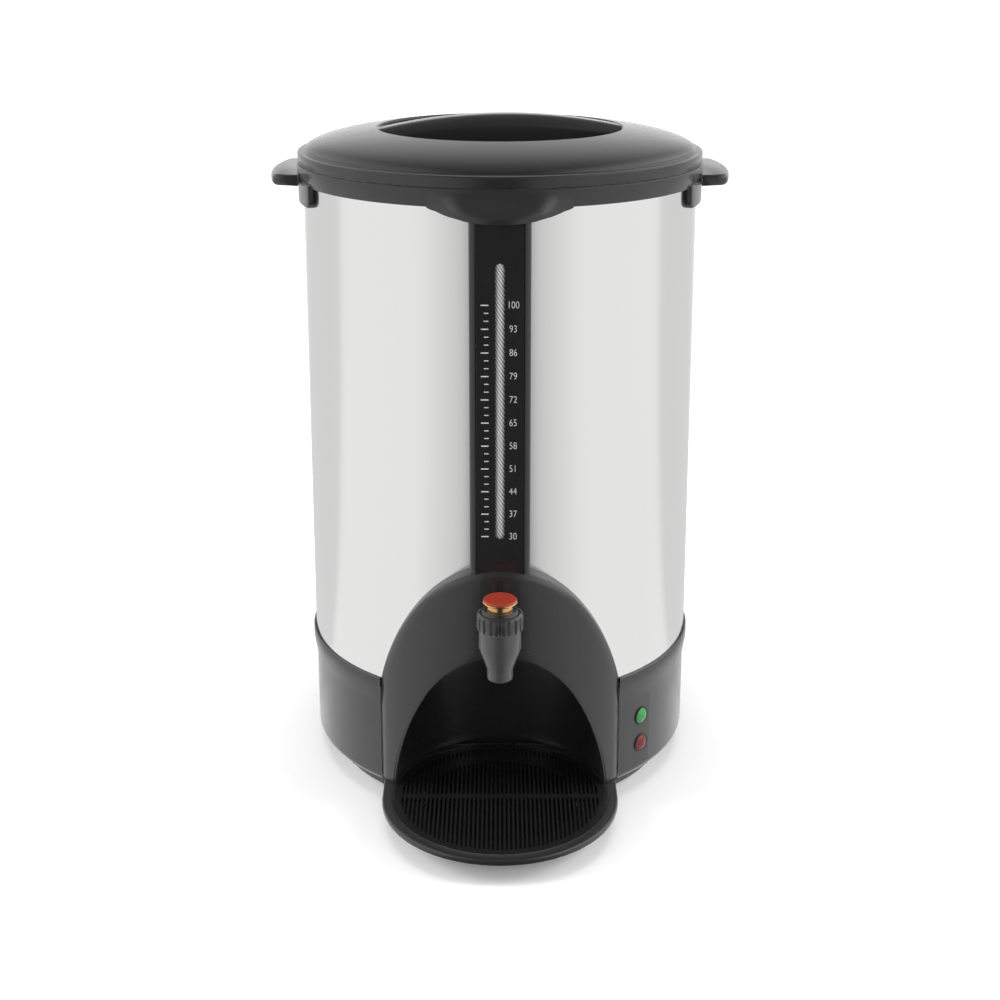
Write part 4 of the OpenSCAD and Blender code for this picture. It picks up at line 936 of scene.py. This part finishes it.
def gauge_scale():
    """A figure and a long mark for each count, with two short marks up to the next."""
    form = bmesh.new()
    step = (SCALE_HIGH_Z - SCALE_LOW_Z) / (len(COUNTS) - 1)
    for order, count in enumerate(COUNTS):
        z = SCALE_LOW_Z + order * step
        add_figure(form, str(count), z)
        add_mark(form, LONG_MARK_X, LONG_MARK_H, z)
        if count != COUNTS[-1]:
            add_mark(form, SHORT_MARK_X, SHORT_MARK_H, z + step / 3)
            add_mark(form, SHORT_MARK_X, SHORT_MARK_H, z + 2 * step / 3)
    mesh = bpy.data.meshes.new("gauge_scale")
    form.to_mesh(mesh)
    form.free()
    add_piece("gauge_scale", mesh, "urn", "scale_print")


gauge_scale()


# ---- Floor, lights and camera ----

# How bright the room's walls are by the angle from straight ahead, as metal and gloss mirror them
WALLS = ((0, 0.04), (12, 0.10), (19, 0.64), (36, 0.80), (45, 0.90), (99, 0.91), (104, 0.73), (150, 0.72),
         (165, 1.0), (180, 1.0))
OVERHEAD = 0.2
PANEL_BRIGHT = (1.1, 1.7)  # on the left and on the right
CAMERA_PLACE = (0, -1.152, 0.601)
CAMERA_TILT = 14.49


def mirrored_room(tree, direction):
    """Walls that are dark straight in front of the urn and bright elsewhere, under a dim ceiling.

    The ceiling has a bright panel on either side, and is a little paler behind the urn.
    """
    split = tree.nodes.new("ShaderNodeSeparateXYZ")
    tree.links.new(direction, split.inputs["Vector"])
    across, back, up = (split.outputs[axis] for axis in "XYZ")
    aside = arithmetic(tree, "ABSOLUTE", across)
    turn = arithmetic(tree, "ARCTAN2", aside, arithmetic(tree, "MULTIPLY", back, -1))
    walls = tree.nodes.new("ShaderNodeValToRGB")
    stops = walls.color_ramp.elements
    stops[0].position, stops[1].position = 0, 1
    while len(stops) < len(WALLS):
        stops.new(0.5)
    for stop, (angle, bright) in zip(stops, WALLS):
        stop.position = angle / 180
        stop.color = (bright, bright, bright, 1)
    tree.links.new(arithmetic(tree, "DIVIDE", turn, math.pi), walls.inputs["Fac"])
    behind = ramp(tree, back, 0, 0.26, low_at=0.3, high_at=1)
    panels = arithmetic(tree, "MULTIPLY", ramp(tree, aside, 0, 1, low_at=0.35, high_at=0.8),
                        ramp(tree, across, *PANEL_BRIGHT, low_at=-0.7, high_at=0.7))
    ceiling = arithmetic(tree, "ADD", arithmetic(tree, "ADD", behind, panels), OVERHEAD)
    mix = tree.nodes.new("ShaderNodeMix")
    mix.data_type = "RGBA"
    tree.links.new(ramp(tree, up, 0, 1, low_at=0.06, high_at=0.34), mix.inputs["Factor"])
    tree.links.new(walls.outputs["Color"], mix.inputs["A"])
    tree.links.new(ceiling, mix.inputs["B"])
    return mix.outputs["Result"]


def mix_shaders(tree, share, first, second):
    mix = tree.nodes.new("ShaderNodeMixShader")
    tree.links.new(share, mix.inputs["Fac"])
    tree.links.new(first, mix.inputs[1])
    tree.links.new(second, mix.inputs[2])
    return mix.outputs["Shader"]


def studio_paper():
    """White paper that shows the shadow, fades to plain white far away, and mirrors as the room."""
    tree, shader = new_finish("studio_paper")
    shader.inputs["Base Color"].default_value = (0.92, 0.92, 0.92, 1)
    shader.inputs["Roughness"].default_value = 0.9
    shader.inputs["Specular IOR Level"].default_value = 0
    shader.inputs["Emission Color"].default_value = (1, 1, 1, 1)
    rays = tree.nodes.new("ShaderNodeLightPath")
    coords = tree.nodes.new("ShaderNodeTexCoord")
    away = tree.nodes.new("ShaderNodeVectorMath")
    away.operation = "LENGTH"
    tree.links.new(coords.outputs["Object"], away.inputs[0])
    far = ramp(tree, away.outputs["Value"], 0.04, 1, low_at=0.25, high_at=1.3)
    seen = arithmetic(tree, "MULTIPLY", rays.outputs["Is Camera Ray"], far)
    tree.links.new(seen, shader.inputs["Emission Strength"])
    mirrored = tree.nodes.new("ShaderNodeEmission")
    tree.links.new(mirrored_room(tree, coords.outputs["Object"]), mirrored.inputs["Color"])
    paper = mix_shaders(tree, rays.outputs["Is Glossy Ray"], shader.outputs["BSDF"],
                        mirrored.outputs["Emission"])
    tree.links.new(paper, tree.nodes["Material Output"].inputs["Surface"])


def studio_floor():
    studio_paper()
    mesh = bpy.data.meshes.new("studio_floor")
    form = bmesh.new()
    bmesh.ops.create_grid(form, x_segments=1, y_segments=1, size=8)
    form.to_mesh(mesh)
    form.free()
    mesh.materials.append(FINISH["studio_paper"])
    floor = bpy.data.objects.new("studio_floor", mesh)
    bpy.context.scene.collection.objects.link(floor)


def studio_room():
    """White where it is seen, the room's walls where it is mirrored, and a soft grey light otherwise."""
    world = bpy.data.worlds.new("studio_room")
    bpy.context.scene.world = world
    world.use_nodes = True
    tree = world.node_tree
    tree.nodes.clear()
    rays = tree.nodes.new("ShaderNodeLightPath")
    coords = tree.nodes.new("ShaderNodeTexCoord")
    white, grey, mirrored = (tree.nodes.new("ShaderNodeBackground") for _ in range(3))
    white.inputs["Color"].default_value = (1, 1, 1, 1)
    grey.inputs["Color"].default_value = (0.3, 0.3, 0.3, 1)
    tree.links.new(mirrored_room(tree, coords.outputs["Generated"]), mirrored.inputs["Color"])
    bounced = mix_shaders(tree, rays.outputs["Is Glossy Ray"], grey.outputs["Background"],
                          mirrored.outputs["Background"])
    straight = arithmetic(tree, "MAXIMUM", rays.outputs["Is Camera Ray"],
                          rays.outputs["Is Transmission Ray"])
    out = tree.nodes.new("ShaderNodeOutputWorld")
    tree.links.new(mix_shaders(tree, straight, bounced, white.outputs["Background"]), out.inputs["Surface"])


def soft_light(name, place, aim, width, height, watts):
    lamp = bpy.data.lights.new(name, "AREA")
    lamp.shape = "RECTANGLE"
    lamp.size = width
    lamp.size_y = height
    lamp.energy = watts
    holder = bpy.data.objects.new(name, lamp)
    bpy.context.scene.collection.objects.link(holder)
    holder.location = place
    holder.rotation_mode = "QUATERNION"
    holder.rotation_quaternion = (Vector(aim) - Vector(place)).to_track_quat("-Z", "Y")
    holder.visible_glossy = False


def camera():
    lens = bpy.data.cameras.new("camera")
    lens.sensor_width = 36
    lens.lens = 58.2
    lens.shift_y = -0.15
    holder = bpy.data.objects.new("camera", lens)
    bpy.context.scene.collection.objects.link(holder)
    holder.location = CAMERA_PLACE
    holder.rotation_euler = (math.radians(90 - CAMERA_TILT), 0, 0)
    bpy.context.scene.camera = holder


studio_floor()
studio_room()
soft_light("left_softbox", (-1.7, -0.15, 0.7), aim=(0, 0, 0.25), width=0.9, height=1.6, watts=40)
soft_light("right_softbox", (1.7, -0.15, 0.7), aim=(0, 0, 0.25), width=0.9, height=1.6, watts=40)
soft_light("top_softbox", (0, 0.15, 2.0), aim=(0, 0, 0.2), width=1.6, height=1.2, watts=20)
soft_light("front_softbox", (0, -2.3, 1.3), aim=(0, 0, 0.25), width=1.6, height=1.0, watts=16)
camera()
bpy.context.scene.view_settings.view_transform = "Standard"
